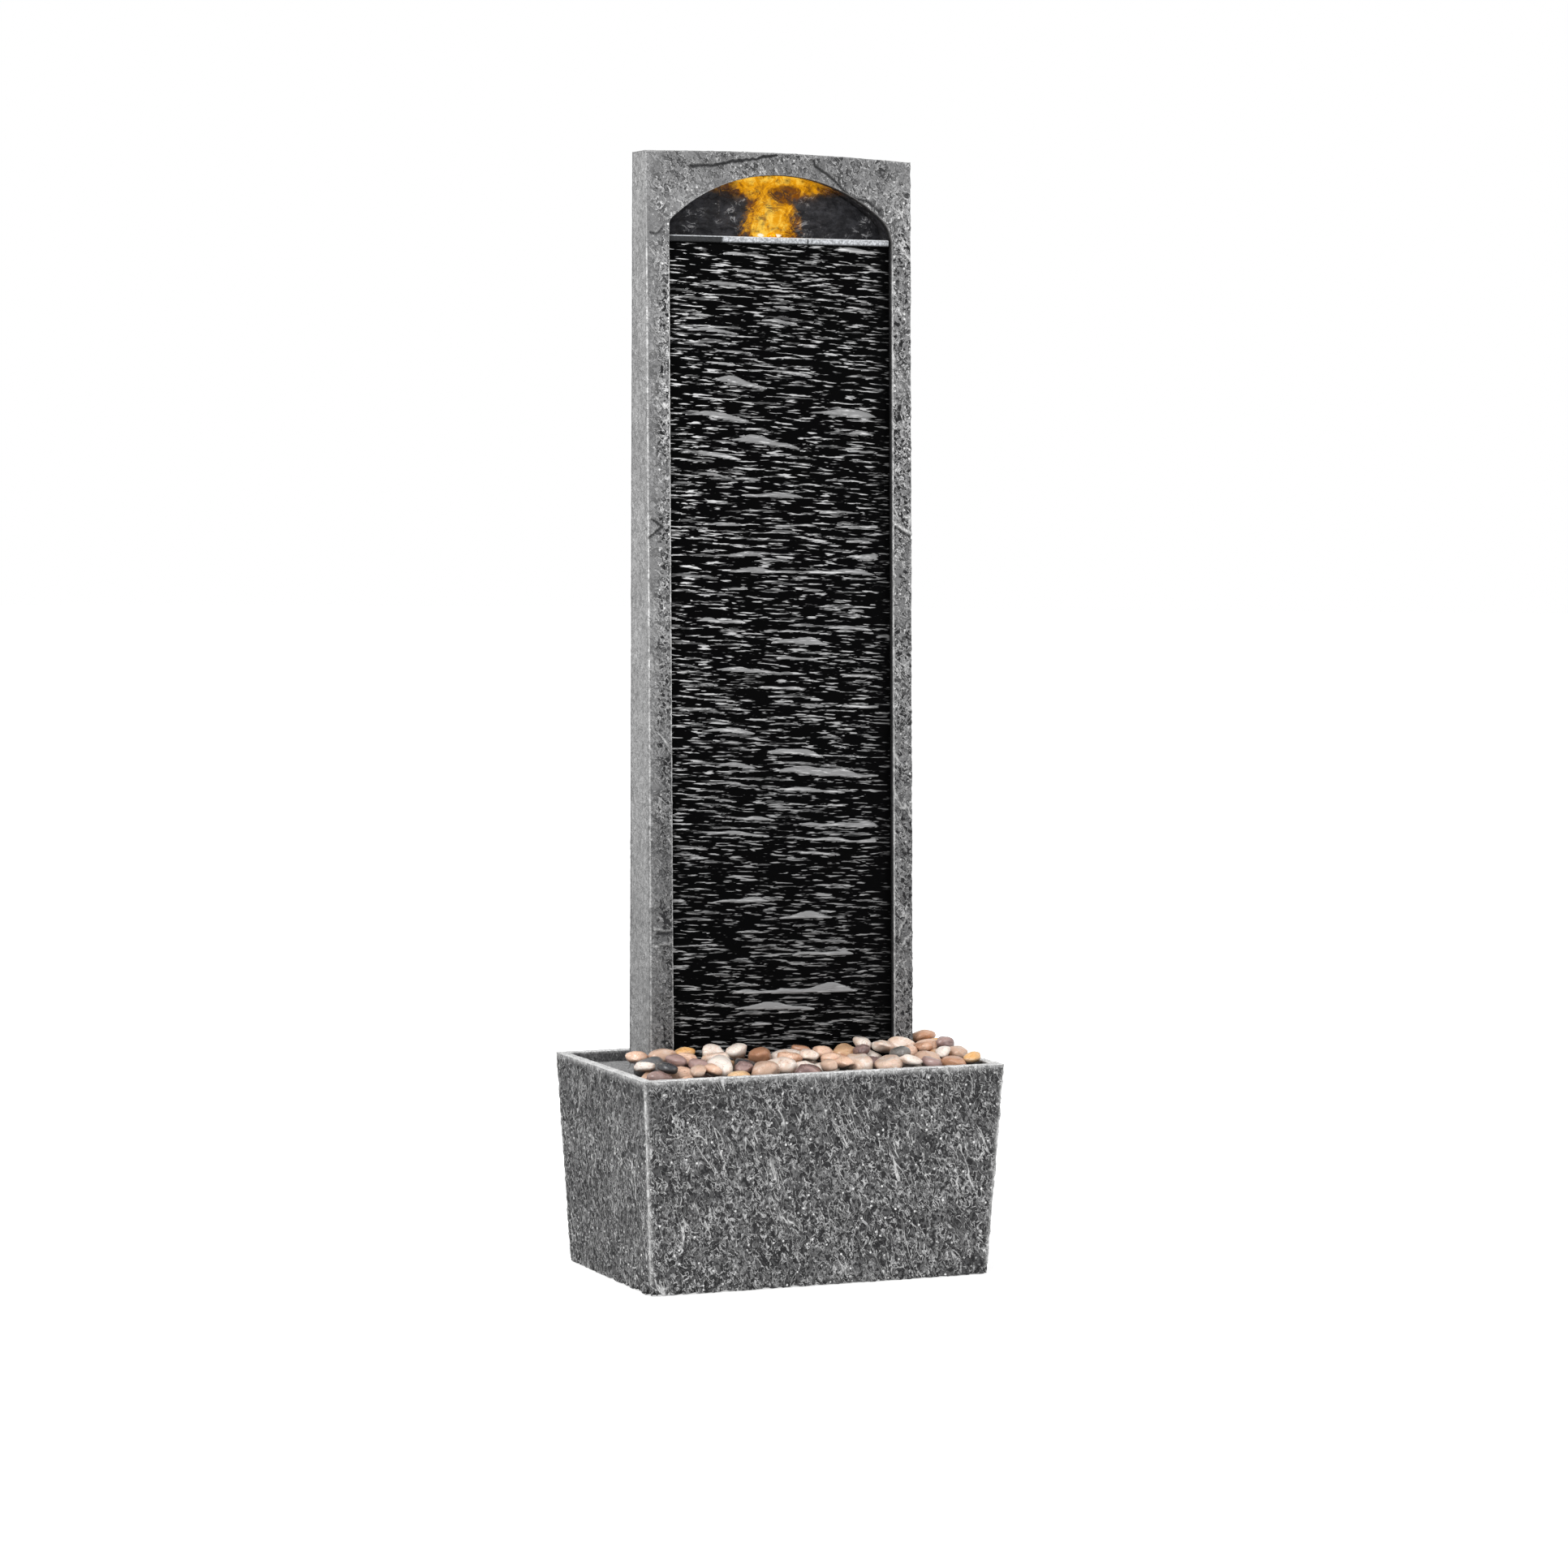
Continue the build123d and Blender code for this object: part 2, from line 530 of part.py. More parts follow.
# Spill trough: an open channel behind the panel, with the lip that the water runs over
LIP_FRONT_Y = face_y(LIP_TOP, LIP_SETBACK)
TROUGH_SPAN = TROUGH_BACK_Y - TROUGH_FRONT_Y
with BuildPart() as spill_trough:
    with BuildSketch(Plane.XY.offset(TROUGH_UNDER)):
        with Locations((0, RISER_Y)):
            Rectangle(2 * TROUGH_HALF, TROUGH_SPAN)
    extrude(amount=TROUGH_DEPTH)
    with BuildSketch(Plane.XY.offset(LIP_UNDER)):
        with Locations((0, (LIP_FRONT_Y + RISER_Y) / 2)):
            Rectangle(2 * RIPPLE_HALF, RISER_Y - LIP_FRONT_Y)
    extrude(amount=LIP_THICK)
    nose = spill_trough.edges().filter_by(Axis.X).group_by(Axis.Y)[0]
    fillet(nose, LIP_ROUND)
    with BuildSketch(Plane.XY.offset(TROUGH_FLOOR)):
        with Locations((0, RISER_Y)):
            Rectangle(2 * (TROUGH_HALF - TROUGH_WALL), TROUGH_SPAN - 2 * TROUGH_WALL)
    extrude(amount=TROUGH_DEPTH, mode=Mode.SUBTRACT)
    with BuildSketch(Plane.XY.offset(TROUGH_UNDER)):
        with Locations((RISER_X, RISER_Y)):
            Circle(TAIL_OUTER + TAIL_GAP)
        with Locations((0, RISER_Y)):
            Circle(LED_SPIGOT / 2 + LED_GAP)
    extrude(amount=TROUGH_WALL, mode=Mode.SUBTRACT)
save(spill_trough.part, "spill_trough")

# Light: a round housing on a washer in the trough, with a spigot and a nut through its floor
LED_FOOT = TROUGH_FLOOR + LED_WASHER
LED_TOP = LIP_TOP + LED_TOP_RISE
LED_BORE = LED_BODY / 2 - LED_WALL
BOARD_TOP = LED_TOP - LENS_PLUG
BOARD_UNDER = BOARD_TOP - BOARD_THICK
LEAD_RADIUS = LEAD_DIAMETER / 2
with BuildPart() as led_housing:
    with BuildSketch(Plane.XY.offset(LED_FOOT)):
        with Locations((0, RISER_Y)):
            Circle(LED_BODY / 2)
    extrude(amount=LED_TOP - LED_FOOT)
    with BuildSketch(Plane.XY.offset(LED_FOOT)):
        with Locations((0, RISER_Y)):
            Circle(LED_SPIGOT / 2)
    extrude(amount=TROUGH_UNDER - LED_SPIGOT_DROP - LED_FOOT)
    with BuildSketch(Plane.XY.offset(LED_TOP)):
        with Locations((0, RISER_Y)):
            Circle(LED_BORE)
    extrude(amount=BOARD_UNDER - LED_TOP, mode=Mode.SUBTRACT)
    with BuildSketch(Plane.XY.offset(LED_TOP)):
        with Locations((0, RISER_Y)):
            Circle(LED_BORE - LED_SHOULDER)
    extrude(amount=LED_FOOT + LED_FLOOR - LED_TOP, mode=Mode.SUBTRACT)
    with BuildSketch(Plane.XY.offset(LED_TOP)):
        with Locations((0, RISER_Y)):
            Circle(LEAD_RADIUS + LEAD_GAP)
    extrude(amount=TROUGH_UNDER - LED_SPIGOT_DROP - LED_TOP, mode=Mode.SUBTRACT)
save(led_housing.part, "led_housing")

with BuildPart() as led_board:
    with BuildSketch(Plane.XY.offset(BOARD_UNDER)):
        with Locations((0, RISER_Y)):
            Circle(LED_BORE - LED_GAP)
    extrude(amount=BOARD_THICK)
save(led_board.part, "led_board")

# Lens: a plug in the housing under a dome, turned about the light's axis
lens_axis = Axis((0, RISER_Y, LED_TOP), (0, 0, 1))
with BuildPart() as led_lens:
    with BuildSketch(Plane(origin=(0, RISER_Y, LED_TOP), x_dir=(1, 0, 0), z_dir=(0, -1, 0))):
        with BuildLine():
            Polyline(
                (0, LED_BODY / 2),
                (0, -LENS_PLUG),
                (LED_BORE - LED_GAP, -LENS_PLUG),
                (LED_BORE - LED_GAP, 0),
                (LED_BODY / 2, 0),
            )
            CenterArc((0, 0), LED_BODY / 2, 0, 90)
        make_face()
    revolve(axis=lens_axis)
save(led_lens.part, "led_lens")

with BuildPart() as led_washer:
    with BuildSketch(Plane.XY.offset(TROUGH_FLOOR)):
        with Locations((0, RISER_Y)):
            Circle(LED_BODY / 2)
            Circle(LED_SPIGOT / 2 + LED_GAP, mode=Mode.SUBTRACT)
    extrude(amount=LED_WASHER)
save(led_washer.part, "led_washer")

with BuildPart() as led_nut:
    with BuildSketch(Plane.XY.offset(TROUGH_UNDER)):
        with Locations((0, RISER_Y)):
            RegularPolygon(LED_NUT_FLATS / 2, 6, major_radius=False)
            Circle(LED_SPIGOT / 2 + LED_GAP, mode=Mode.SUBTRACT)
    extrude(amount=-LED_NUT)
save(led_nut.part, "led_nut")

# Light's lead: down the back panel and through the deck to the plug on the pump
SOCKET_TOP = PUMP_TOP + SOCKET_HEIGHT
PLUG_TOP = SOCKET_TOP + SEAT_GAP + PLUG_GRIP
LEAD_END = PLUG_TOP - PLUG_GRIP / 2
LEAD_Y = PANEL_FACE_Y - LEAD_BACK_GAP - LEAD_RADIUS
UPPER_SHIFT = TROUGH_UNDER - LED_SPIGOT_DROP - LEAD_BEND / 2
LOWER_SHIFT = DECK_TOP + LEAD_FOOT
with BuildPart() as led_lead:
    with BuildLine() as lead_route:
        FilletPolyline(
            (0, RISER_Y, BOARD_UNDER - SEAT_GAP),
            (0, RISER_Y, UPPER_SHIFT),
            (0, LEAD_Y, UPPER_SHIFT - LEAD_BEND),
            (0, LEAD_Y, LOWER_SHIFT + LEAD_BEND),
            (0, RISER_Y, LOWER_SHIFT),
            (0, RISER_Y, LEAD_END),
            radius=LEAD_BEND_RADIUS,
        )
    with BuildSketch(Plane(origin=lead_route.line @ 0, z_dir=lead_route.line % 0)):
        Circle(LEAD_RADIUS)
    sweep()
save(led_lead.part, "led_lead")

# Lead clips: open hooks on the inside of the back panel
CLIP_TOP = UPPER_SHIFT - 2 * LEAD_BEND
CLIP_FOOT = LOWER_SHIFT + 2 * LEAD_BEND
CLIP_STEP = (CLIP_TOP - CLIP_FOOT) / (LEAD_CLIPS - 1)
CLIP_FRONT_Y = LEAD_Y - LEAD_RADIUS / 2
with BuildPart() as lead_clips:
    for row in range(LEAD_CLIPS):
        with BuildSketch(Plane.XY.offset(CLIP_FOOT + row * CLIP_STEP)):
            with Locations((0, (CLIP_FRONT_Y + PANEL_FACE_Y) / 2)):
                Rectangle(LEAD_CLIP_SIZE[0], PANEL_FACE_Y - CLIP_FRONT_Y)
            with Locations((0, LEAD_Y)):
                Circle(LEAD_RADIUS + LEAD_GAP, mode=Mode.SUBTRACT)
        extrude(amount=LEAD_CLIP_SIZE[1] / 2, both=True)
save(lead_clips.part, "lead_clips")

with BuildPart() as led_plug:
    with BuildSketch(Plane.XY.offset(SOCKET_TOP + SEAT_GAP)):
        with Locations((0, RISER_Y)):
            Circle(PLUG_GRIP_RADIUS)
    extrude(amount=PLUG_GRIP)
    with BuildSketch(Plane.XY.offset(SOCKET_TOP + SEAT_GAP)):
        with Locations((0, RISER_Y)):
            Circle(PLUG_RADIUS)
    extrude(amount=-PLUG_DEPTH)
    with BuildSketch(Plane.XY.offset(PLUG_TOP)):
        with Locations((0, RISER_Y)):
            Circle(LEAD_RADIUS + LEAD_GAP)
    extrude(amount=LEAD_END - SEAT_GAP - PLUG_TOP, mode=Mode.SUBTRACT)
save(led_plug.part, "led_plug")

with BuildPart() as led_socket:
    with BuildSketch(Plane.XY.offset(PUMP_TOP)):
        with Locations((0, RISER_Y)):
            Circle(SOCKET_RADIUS)
    extrude(amount=SOCKET_HEIGHT)
    with BuildSketch(Plane.XY.offset(PUMP_TOP)):
        with Locations((0, RISER_Y)):
            Circle(SOCKET_FOOT_RADIUS)
    extrude(amount=-SOCKET_FOOT)
    with BuildSketch(Plane.XY.offset(SOCKET_TOP)):
        with Locations((0, RISER_Y)):
            Circle(PLUG_RADIUS + PLUG_GAP)
    extrude(amount=-(PLUG_DEPTH + SEAT_GAP), mode=Mode.SUBTRACT)
save(led_socket.part, "led_socket")

# Trough inlet: a flanged tail through the trough's floor, with its washer and nut
INLET_FOOT = TROUGH_FLOOR + INLET_WASHER
INLET_TOP = INLET_FOOT + INLET_FLANGE + INLET_STAND
INLET_FLANGE_RADIUS = TAIL_OUTER + INLET_FLANGE_LAP
with BuildPart() as trough_inlet:
    with BuildSketch(Plane.XY.offset(HOSE_TOP - TAIL_LENGTH)):
        with Locations((RISER_X, RISER_Y)):
            Circle(TAIL_OUTER)
    extrude(amount=INLET_TOP - HOSE_TOP + TAIL_LENGTH)
    with BuildSketch(Plane.XY.offset(INLET_FOOT)):
        with Locations((RISER_X, RISER_Y)):
            Circle(INLET_FLANGE_RADIUS)
    extrude(amount=INLET_FLANGE)
    with BuildSketch(Plane.XY.offset(HOSE_TOP - TAIL_LENGTH)):
        with Locations((RISER_X, RISER_Y)):
            Circle(TAIL_INNER)
    extrude(amount=INLET_TOP - HOSE_TOP + TAIL_LENGTH, mode=Mode.SUBTRACT)
save(trough_inlet.part, "trough_inlet")

with BuildPart() as inlet_washer:
    with BuildSketch(Plane.XY.offset(TROUGH_FLOOR)):
        with Locations((RISER_X, RISER_Y)):
            Circle(INLET_FLANGE_RADIUS)
            Circle(TAIL_OUTER + TAIL_GAP, mode=Mode.SUBTRACT)
    extrude(amount=INLET_WASHER)
save(inlet_washer.part, "inlet_washer")

with BuildPart() as inlet_nut:
    with BuildSketch(Plane.XY.offset(TROUGH_UNDER - SEAT_GAP)):
        with Locations((RISER_X, RISER_Y)):
            RegularPolygon(INLET_NUT_FLATS / 2, 6, major_radius=False)
            Circle(TAIL_OUTER + TAIL_GAP, mode=Mode.SUBTRACT)
    extrude(amount=-INLET_NUT)
save(inlet_nut.part, "inlet_nut")

# Riser hose, from the pump's outlet to the trough's inlet, and its two clips
with BuildPart() as riser_hose:
    with BuildSketch(Plane.XY.offset(HOSE_BOTTOM)):
        with Locations((RISER_X, RISER_Y)):
            Circle(HOSE_OUTER)
            Circle(HOSE_INNER, mode=Mode.SUBTRACT)
    extrude(amount=HOSE_TOP - HOSE_BOTTOM)
save(riser_hose.part, "riser_hose")

CLIP_BORE = HOSE_OUTER + HOSE_CLIP_GAP
with BuildPart() as hose_clips:
    for height in (HOSE_BOTTOM + TAIL_LENGTH / 2, HOSE_TOP - TAIL_LENGTH / 2):
        with BuildSketch(Plane.XY.offset(height)):
            with Locations((RISER_X, RISER_Y)):
                Circle(CLIP_BORE + HOSE_CLIP_WALL)
                with Locations((CLIP_BORE + HOSE_CLIP_EAR / 2, 0)):
                    Rectangle(HOSE_CLIP_EAR, HOSE_CLIP_SLIT + 2 * HOSE_CLIP_WALL)
                with Locations(((CLIP_BORE + HOSE_CLIP_EAR) / 2, 0)):
                    Rectangle(CLIP_BORE + HOSE_CLIP_EAR, HOSE_CLIP_SLIT, mode=Mode.SUBTRACT)
                Circle(CLIP_BORE, mode=Mode.SUBTRACT)
        extrude(amount=HOSE_CLIP_WIDTH / 2, both=True)
save(hose_clips.part, "hose_clips")

# Pump housing: a potted motor block with a blind rotor bore, seal groove and fixing holes
ROTOR_BORE = MAGNET_LENGTH + 2 * ROTOR_PLAY
pump_under = Plane(origin=(COVER_BACK_X + PUMP_LENGTH / 2, RISER_Y, PUMP_UNDER), z_dir=(0, 0, -1))
pump_back = Plane(
    origin=(PUMP_BACK_X, RISER_Y, PUMP_AXIS_Z + GLAND_RISE), x_dir=(0, 1, 0), z_dir=(1, 0, 0)
)
SCREW_SPREAD = (PUMP_WIDTH - 2 * COVER_SCREW_INSET, PUMP_HEIGHT - 2 * COVER_SCREW_INSET)
CUP_SPREAD = (PUMP_LENGTH - 2 * CUP_INSET, PUMP_WIDTH - 2 * CUP_INSET)
SCREW_DEPTH = COVER_SCREW_LENGTH - COVER_FLANGE - SEAT_GAP
with BuildPart() as pump_housing:
    with BuildSketch(pump_front):
        RectangleRounded(PUMP_WIDTH, PUMP_HEIGHT, PUMP_ROUND)
    extrude(amount=-PUMP_LENGTH)
    with BuildSketch(pump_front):
        Circle(MAGNET_RADIUS + MAGNET_GAP)
    extrude(amount=-ROTOR_BORE, mode=Mode.SUBTRACT)
    with BuildSketch(pump_front):
        Circle(BUSH_RADIUS)
    extrude(amount=-(ROTOR_BORE + BUSH_LENGTH), mode=Mode.SUBTRACT)
    with BuildSketch(pump_front):
        Circle(SEAL_RADIUS + SEAL_SECTION / 2 + SEAL_GAP)
        Circle(SEAL_RADIUS - SEAL_SECTION / 2 - SEAL_GAP, mode=Mode.SUBTRACT)
    extrude(amount=-SEAL_SECTION, mode=Mode.SUBTRACT)
    with BuildSketch(pump_front):
        with GridLocations(*SCREW_SPREAD, 2, 2):
            Circle(COVER_SCREW / 2 + SCREW_GAP)
    extrude(amount=-(SCREW_DEPTH + SEAT_GAP), mode=Mode.SUBTRACT)
    with BuildSketch(pump_under):
        with GridLocations(*CUP_SPREAD, 2, 2):
            Circle(CUP_STUD / 2 + CUP_GAP)
    extrude(amount=-(CUP_STUD_LENGTH + CUP_GAP), mode=Mode.SUBTRACT)
    with BuildSketch(Plane.XY.offset(PUMP_TOP)):
        with Locations((0, RISER_Y)):
            Circle(SOCKET_FOOT_RADIUS + CUP_GAP)
    extrude(amount=-(SOCKET_FOOT + CUP_GAP), mode=Mode.SUBTRACT)
    with BuildSketch(pump_back):
        Circle(GLAND_FOOT_RADIUS + CUP_GAP)
    extrude(amount=-(GLAND_FOOT + CUP_GAP), mode=Mode.SUBTRACT)
save(pump_housing.part, "pump_housing")

# Volute cover: flange, round chamber, inlet eye with a three-armed spider, and the outlet's socket
cover_plane = pump_front.offset(SEAT_GAP)
with BuildPart() as volute_cover:
    with BuildSketch(cover_plane):
        RectangleRounded(PUMP_WIDTH, PUMP_HEIGHT, PUMP_ROUND)
    extrude(amount=COVER_FLANGE)
    with BuildSketch(cover_plane):
        Circle(CHAMBER_RADIUS + CHAMBER_WALL)
    extrude(amount=COVER_LENGTH)
    with BuildSketch(Plane.XY.offset(PUMP_AXIS_Z)):
        with Locations((RISER_X, RISER_Y)):
            Circle(TAIL_OUTER + TAIL_GAP + OUTLET_WALL)
    extrude(amount=OUTLET_TOP - PUMP_AXIS_Z)
    with BuildSketch(cover_plane):
        Circle(CHAMBER_RADIUS)
    extrude(amount=CHAMBER_DEPTH, mode=Mode.SUBTRACT)
    with BuildSketch(Plane.XY.offset(PUMP_AXIS_Z)):
        with Locations((RISER_X, RISER_Y)):
            Circle(TAIL_OUTER + TAIL_GAP)
    extrude(amount=OUTLET_TOP - PUMP_AXIS_Z, mode=Mode.SUBTRACT)
    with BuildSketch(cover_plane.offset(CHAMBER_DEPTH)):
        Circle(EYE_RADIUS)
    extrude(amount=COVER_FRONT, mode=Mode.SUBTRACT)
    with BuildSketch(cover_plane.offset(CHAMBER_DEPTH)):
        Circle(BUSH_RADIUS + SPIDER_ARM)
        with PolarLocations(EYE_RADIUS / 2, 3):
            Rectangle(EYE_RADIUS + SPIDER_ARM, SPIDER_ARM)
        Circle(BUSH_RADIUS, mode=Mode.SUBTRACT)
    extrude(amount=COVER_FRONT)
    with BuildSketch(cover_plane):
        with GridLocations(*SCREW_SPREAD, 2, 2):
            Circle(COVER_SCREW / 2 + SCREW_GAP)
    extrude(amount=COVER_FLANGE, mode=Mode.SUBTRACT)
save(volute_cover.part, "volute_cover")

with BuildPart() as volute_seal:
    with BuildSketch(pump_front):
        Circle(SEAL_RADIUS + SEAL_SECTION / 2)
        Circle(SEAL_RADIUS - SEAL_SECTION / 2, mode=Mode.SUBTRACT)
    extrude(amount=-SEAL_SECTION)
save(volute_seal.part, "volute_seal")

with BuildPart() as cover_screws:
    with BuildSketch(cover_plane.offset(COVER_FLANGE)):
        with GridLocations(*SCREW_SPREAD, 2, 2):
            Circle(COVER_SCREW_HEAD / 2)
    extrude(amount=COVER_SCREW_HEAD_HEIGHT)
    with BuildSketch(cover_plane.offset(COVER_FLANGE)):
        with GridLocations(*SCREW_SPREAD, 2, 2):
            Circle(COVER_SCREW / 2)
    extrude(amount=-COVER_SCREW_LENGTH)
save(cover_screws.part, "cover_screws")

# Outlet spigot: a flanged tube in the cover's socket, with the hose pushed over its upper end
with BuildPart() as outlet_spigot:
    with BuildSketch(Plane.XY.offset(OUTLET_TOP - OUTLET_SOCKET)):
        with Locations((RISER_X, RISER_Y)):
            Circle(TAIL_OUTER)
    extrude(amount=OUTLET_SOCKET + OUTLET_FLANGE + SEAT_GAP + TAIL_LENGTH)
    with BuildSketch(Plane.XY.offset(OUTLET_TOP)):
        with Locations((RISER_X, RISER_Y)):
            Circle(TAIL_OUTER + OUTLET_WALL)
    extrude(amount=OUTLET_FLANGE)
    with BuildSketch(Plane.XY.offset(OUTLET_TOP - OUTLET_SOCKET)):
        with Locations((RISER_X, RISER_Y)):
            Circle(TAIL_INNER)
    extrude(amount=OUTLET_SOCKET + OUTLET_FLANGE + SEAT_GAP + TAIL_LENGTH, mode=Mode.SUBTRACT)
save(outlet_spigot.part, "outlet_spigot")

# Rotor shaft and its two bushes
SHAFT_RADIUS = SHAFT_DIAMETER / 2
bush_front_plane = cover_plane.offset(CHAMBER_DEPTH)
bush_rear_plane = pump_front.offset(-ROTOR_BORE - BUSH_LENGTH)
with BuildPart() as shaft_bush_front:
    with BuildSketch(bush_front_plane):
        Circle(BUSH_RADIUS - RUNNING_GAP)
        Circle(SHAFT_RADIUS + RUNNING_GAP, mode=Mode.SUBTRACT)
    extrude(amount=BUSH_LENGTH)
save(shaft_bush_front.part, "shaft_bush_front")

with BuildPart() as shaft_bush_rear:
    with BuildSketch(bush_rear_plane):
        Circle(BUSH_RADIUS - RUNNING_GAP)
        Circle(SHAFT_RADIUS + RUNNING_GAP, mode=Mode.SUBTRACT)
    extrude(amount=BUSH_LENGTH)
save(shaft_bush_rear.part, "shaft_bush_rear")

SHAFT_LENGTH = ROTOR_BORE + 2 * BUSH_LENGTH + SEAT_GAP + CHAMBER_DEPTH
with BuildPart() as rotor_shaft:
    with BuildSketch(bush_rear_plane):
        Circle(SHAFT_RADIUS)
    extrude(amount=SHAFT_LENGTH)
save(rotor_shaft.part, "rotor_shaft")

# Rotor: a magnet sleeve and the impeller on its front end, running on the shaft
with BuildPart() as rotor_magnet:
    with BuildSketch(pump_front.offset(-ROTOR_PLAY)):
        Circle(MAGNET_RADIUS)
        Circle(SHAFT_RADIUS + RUNNING_GAP, mode=Mode.SUBTRACT)
    extrude(amount=-MAGNET_LENGTH)
save(rotor_magnet.part, "rotor_magnet")

IMPELLER_LENGTH = SEAT_GAP + CHAMBER_DEPTH
with BuildPart() as impeller:
    with BuildSketch(pump_front.offset(-ROTOR_PLAY)):
        Circle(IMPELLER_HUB)
    extrude(amount=IMPELLER_LENGTH)
    with BuildSketch(pump_front.offset(ROTOR_PLAY)):
        Circle(MAGNET_RADIUS)
    extrude(amount=VANE_THICK)
    with BuildSketch(pump_front.offset(ROTOR_PLAY)):
        with PolarLocations(IMPELLER_RADIUS / 2, IMPELLER_VANES):
            Rectangle(IMPELLER_RADIUS, VANE_THICK)
    extrude(amount=VANE_HEIGHT)
    with BuildSketch(pump_front.offset(-ROTOR_PLAY)):
        Circle(SHAFT_RADIUS + RUNNING_GAP)
    extrude(amount=IMPELLER_LENGTH, mode=Mode.SUBTRACT)
save(impeller.part, "impeller")

# Inlet strainer: a slotted cap over the chamber's front, with windows for the flow dial
STRAINER_BORE = CHAMBER_RADIUS + CHAMBER_WALL + STRAINER_GAP
STRAINER_OUTER = STRAINER_BORE + STRAINER_WALL
strainer_front = cover_plane.offset(COVER_LENGTH + STRAINER_LENGTH)
STRAINER_INSIDE = STRAINER_LAP + STRAINER_LENGTH - STRAINER_WALL
with BuildPart() as inlet_strainer:
    with BuildSketch(strainer_front):
        Circle(STRAINER_OUTER)
    extrude(amount=-(STRAINER_LAP + STRAINER_LENGTH))
    with BuildSketch(strainer_front.offset(-STRAINER_WALL)):
        Circle(STRAINER_BORE)
    extrude(amount=-STRAINER_INSIDE, mode=Mode.SUBTRACT)
    with BuildSketch(strainer_front.offset(-STRAINER_RIM)):
        with PolarLocations(STRAINER_OUTER, STRAINER_SLOTS):
            Rectangle(2 * STRAINER_LAP, STRAINER_SLOT)
    extrude(amount=2 * STRAINER_RIM - STRAINER_LENGTH, mode=Mode.SUBTRACT)
    with BuildSketch(strainer_front):
        Circle(DIAL_STEM + RUNNING_GAP)
        with PolarLocations(WINDOW_RING, WINDOWS):
            Circle(WINDOW_RADIUS)
    extrude(amount=-STRAINER_WALL, mode=Mode.SUBTRACT)
save(inlet_strainer.part, "inlet_strainer")

# Flow dial: a windowed disc with a grip, snapped through the strainer's front wall
with BuildPart() as flow_dial:
    with BuildSketch(strainer_front.offset(DIAL_GAP)):
        Circle(DIAL_RADIUS)
        with PolarLocations(WINDOW_RING, WINDOWS):
            Circle(WINDOW_RADIUS, mode=Mode.SUBTRACT)
    extrude(amount=DIAL_THICK)
    with BuildSketch(strainer_front.offset(DIAL_GAP + DIAL_THICK)):
        Rectangle(DIAL_GRIP[0], DIAL_GRIP[1])
    extrude(amount=DIAL_GRIP[2])
    with BuildSketch(strainer_front.offset(DIAL_GAP)):
        Circle(DIAL_STEM)
    extrude(amount=-(2 * DIAL_GAP + STRAINER_WALL + DIAL_SNAP))
    with BuildSketch(strainer_front.offset(-STRAINER_WALL - DIAL_GAP)):
        Circle(DIAL_STEM + DIAL_SNAP)
    extrude(amount=-DIAL_SNAP)
save(flow_dial.part, "flow_dial")

# Suction cups: a stud in the housing over a flared foot, hollowed by a ball
HOLLOW_RADIUS = CUP_RADIUS - CUP_EDGE
CAP_RADIUS = (HOLLOW_RADIUS**2 + CUP_HOLLOW**2) / (2 * CUP_HOLLOW)
CAP_START = degrees(atan2(CAP_RADIUS - CUP_HOLLOW, HOLLOW_RADIUS))
with BuildPart() as cup:
    with BuildSketch(Plane.XZ):
        with BuildLine():
            Polyline(
                (0, CUP_HOLLOW),
                (0, CUP_HEIGHT + CUP_STUD_LENGTH),
                (CUP_STUD / 2, CUP_HEIGHT + CUP_STUD_LENGTH),
                (CUP_STUD / 2, CUP_HEIGHT),
                (CUP_NECK, CUP_HEIGHT),
                (CUP_NECK, CUP_HEIGHT / 2),
                (CUP_RADIUS, CUP_EDGE),
                (CUP_RADIUS, 0),
                (HOLLOW_RADIUS, 0),
            )
            CenterArc((0, CUP_HOLLOW - CAP_RADIUS), CAP_RADIUS, CAP_START, 90 - CAP_START)
        make_face()
    revolve(axis=Axis.Z)

with BuildPart() as suction_cups:
    with Locations((COVER_BACK_X + PUMP_LENGTH / 2, RISER_Y, BASIN_FLOOR)):
        with GridLocations(*CUP_SPREAD, 2, 2):
            add(cup.part)
save(suction_cups.part, "suction_cups")

# Gland where the pump's lead leaves the housing
with BuildPart() as pump_cable_gland:
    with BuildSketch(pump_back):
        Circle(GLAND_RADIUS)
    extrude(amount=GLAND_LENGTH)
    with BuildSketch(pump_back):
        Circle(GLAND_FOOT_RADIUS)
    extrude(amount=-GLAND_FOOT)
    with BuildSketch(pump_back.offset(GLAND_LENGTH)):
        Circle(GLAND_BORE)
    extrude(amount=-GLAND_LENGTH, mode=Mode.SUBTRACT)
save(pump_cable_gland.part, "pump_cable_gland")


# Pebbles: ellipsoids dropped one by one onto a height map of the deck
def turned(yaw, pitch, roll):
    """Rotation matrix of a pebble's axes, from its three angles in degrees about Z, Y and X."""
    a, b, c = np.radians([yaw, pitch, roll])
    about_z = np.array([[np.cos(a), -np.sin(a), 0], [np.sin(a), np.cos(a), 0], [0, 0, 1]])
    about_y = np.array([[np.cos(b), 0, np.sin(b)], [0, 1, 0], [-np.sin(b), 0, np.cos(b)]])
    about_x = np.array([[1, 0, 0], [0, np.cos(c), -np.sin(c)], [0, np.sin(c), np.cos(c)]])
    return about_z @ about_y @ about_x


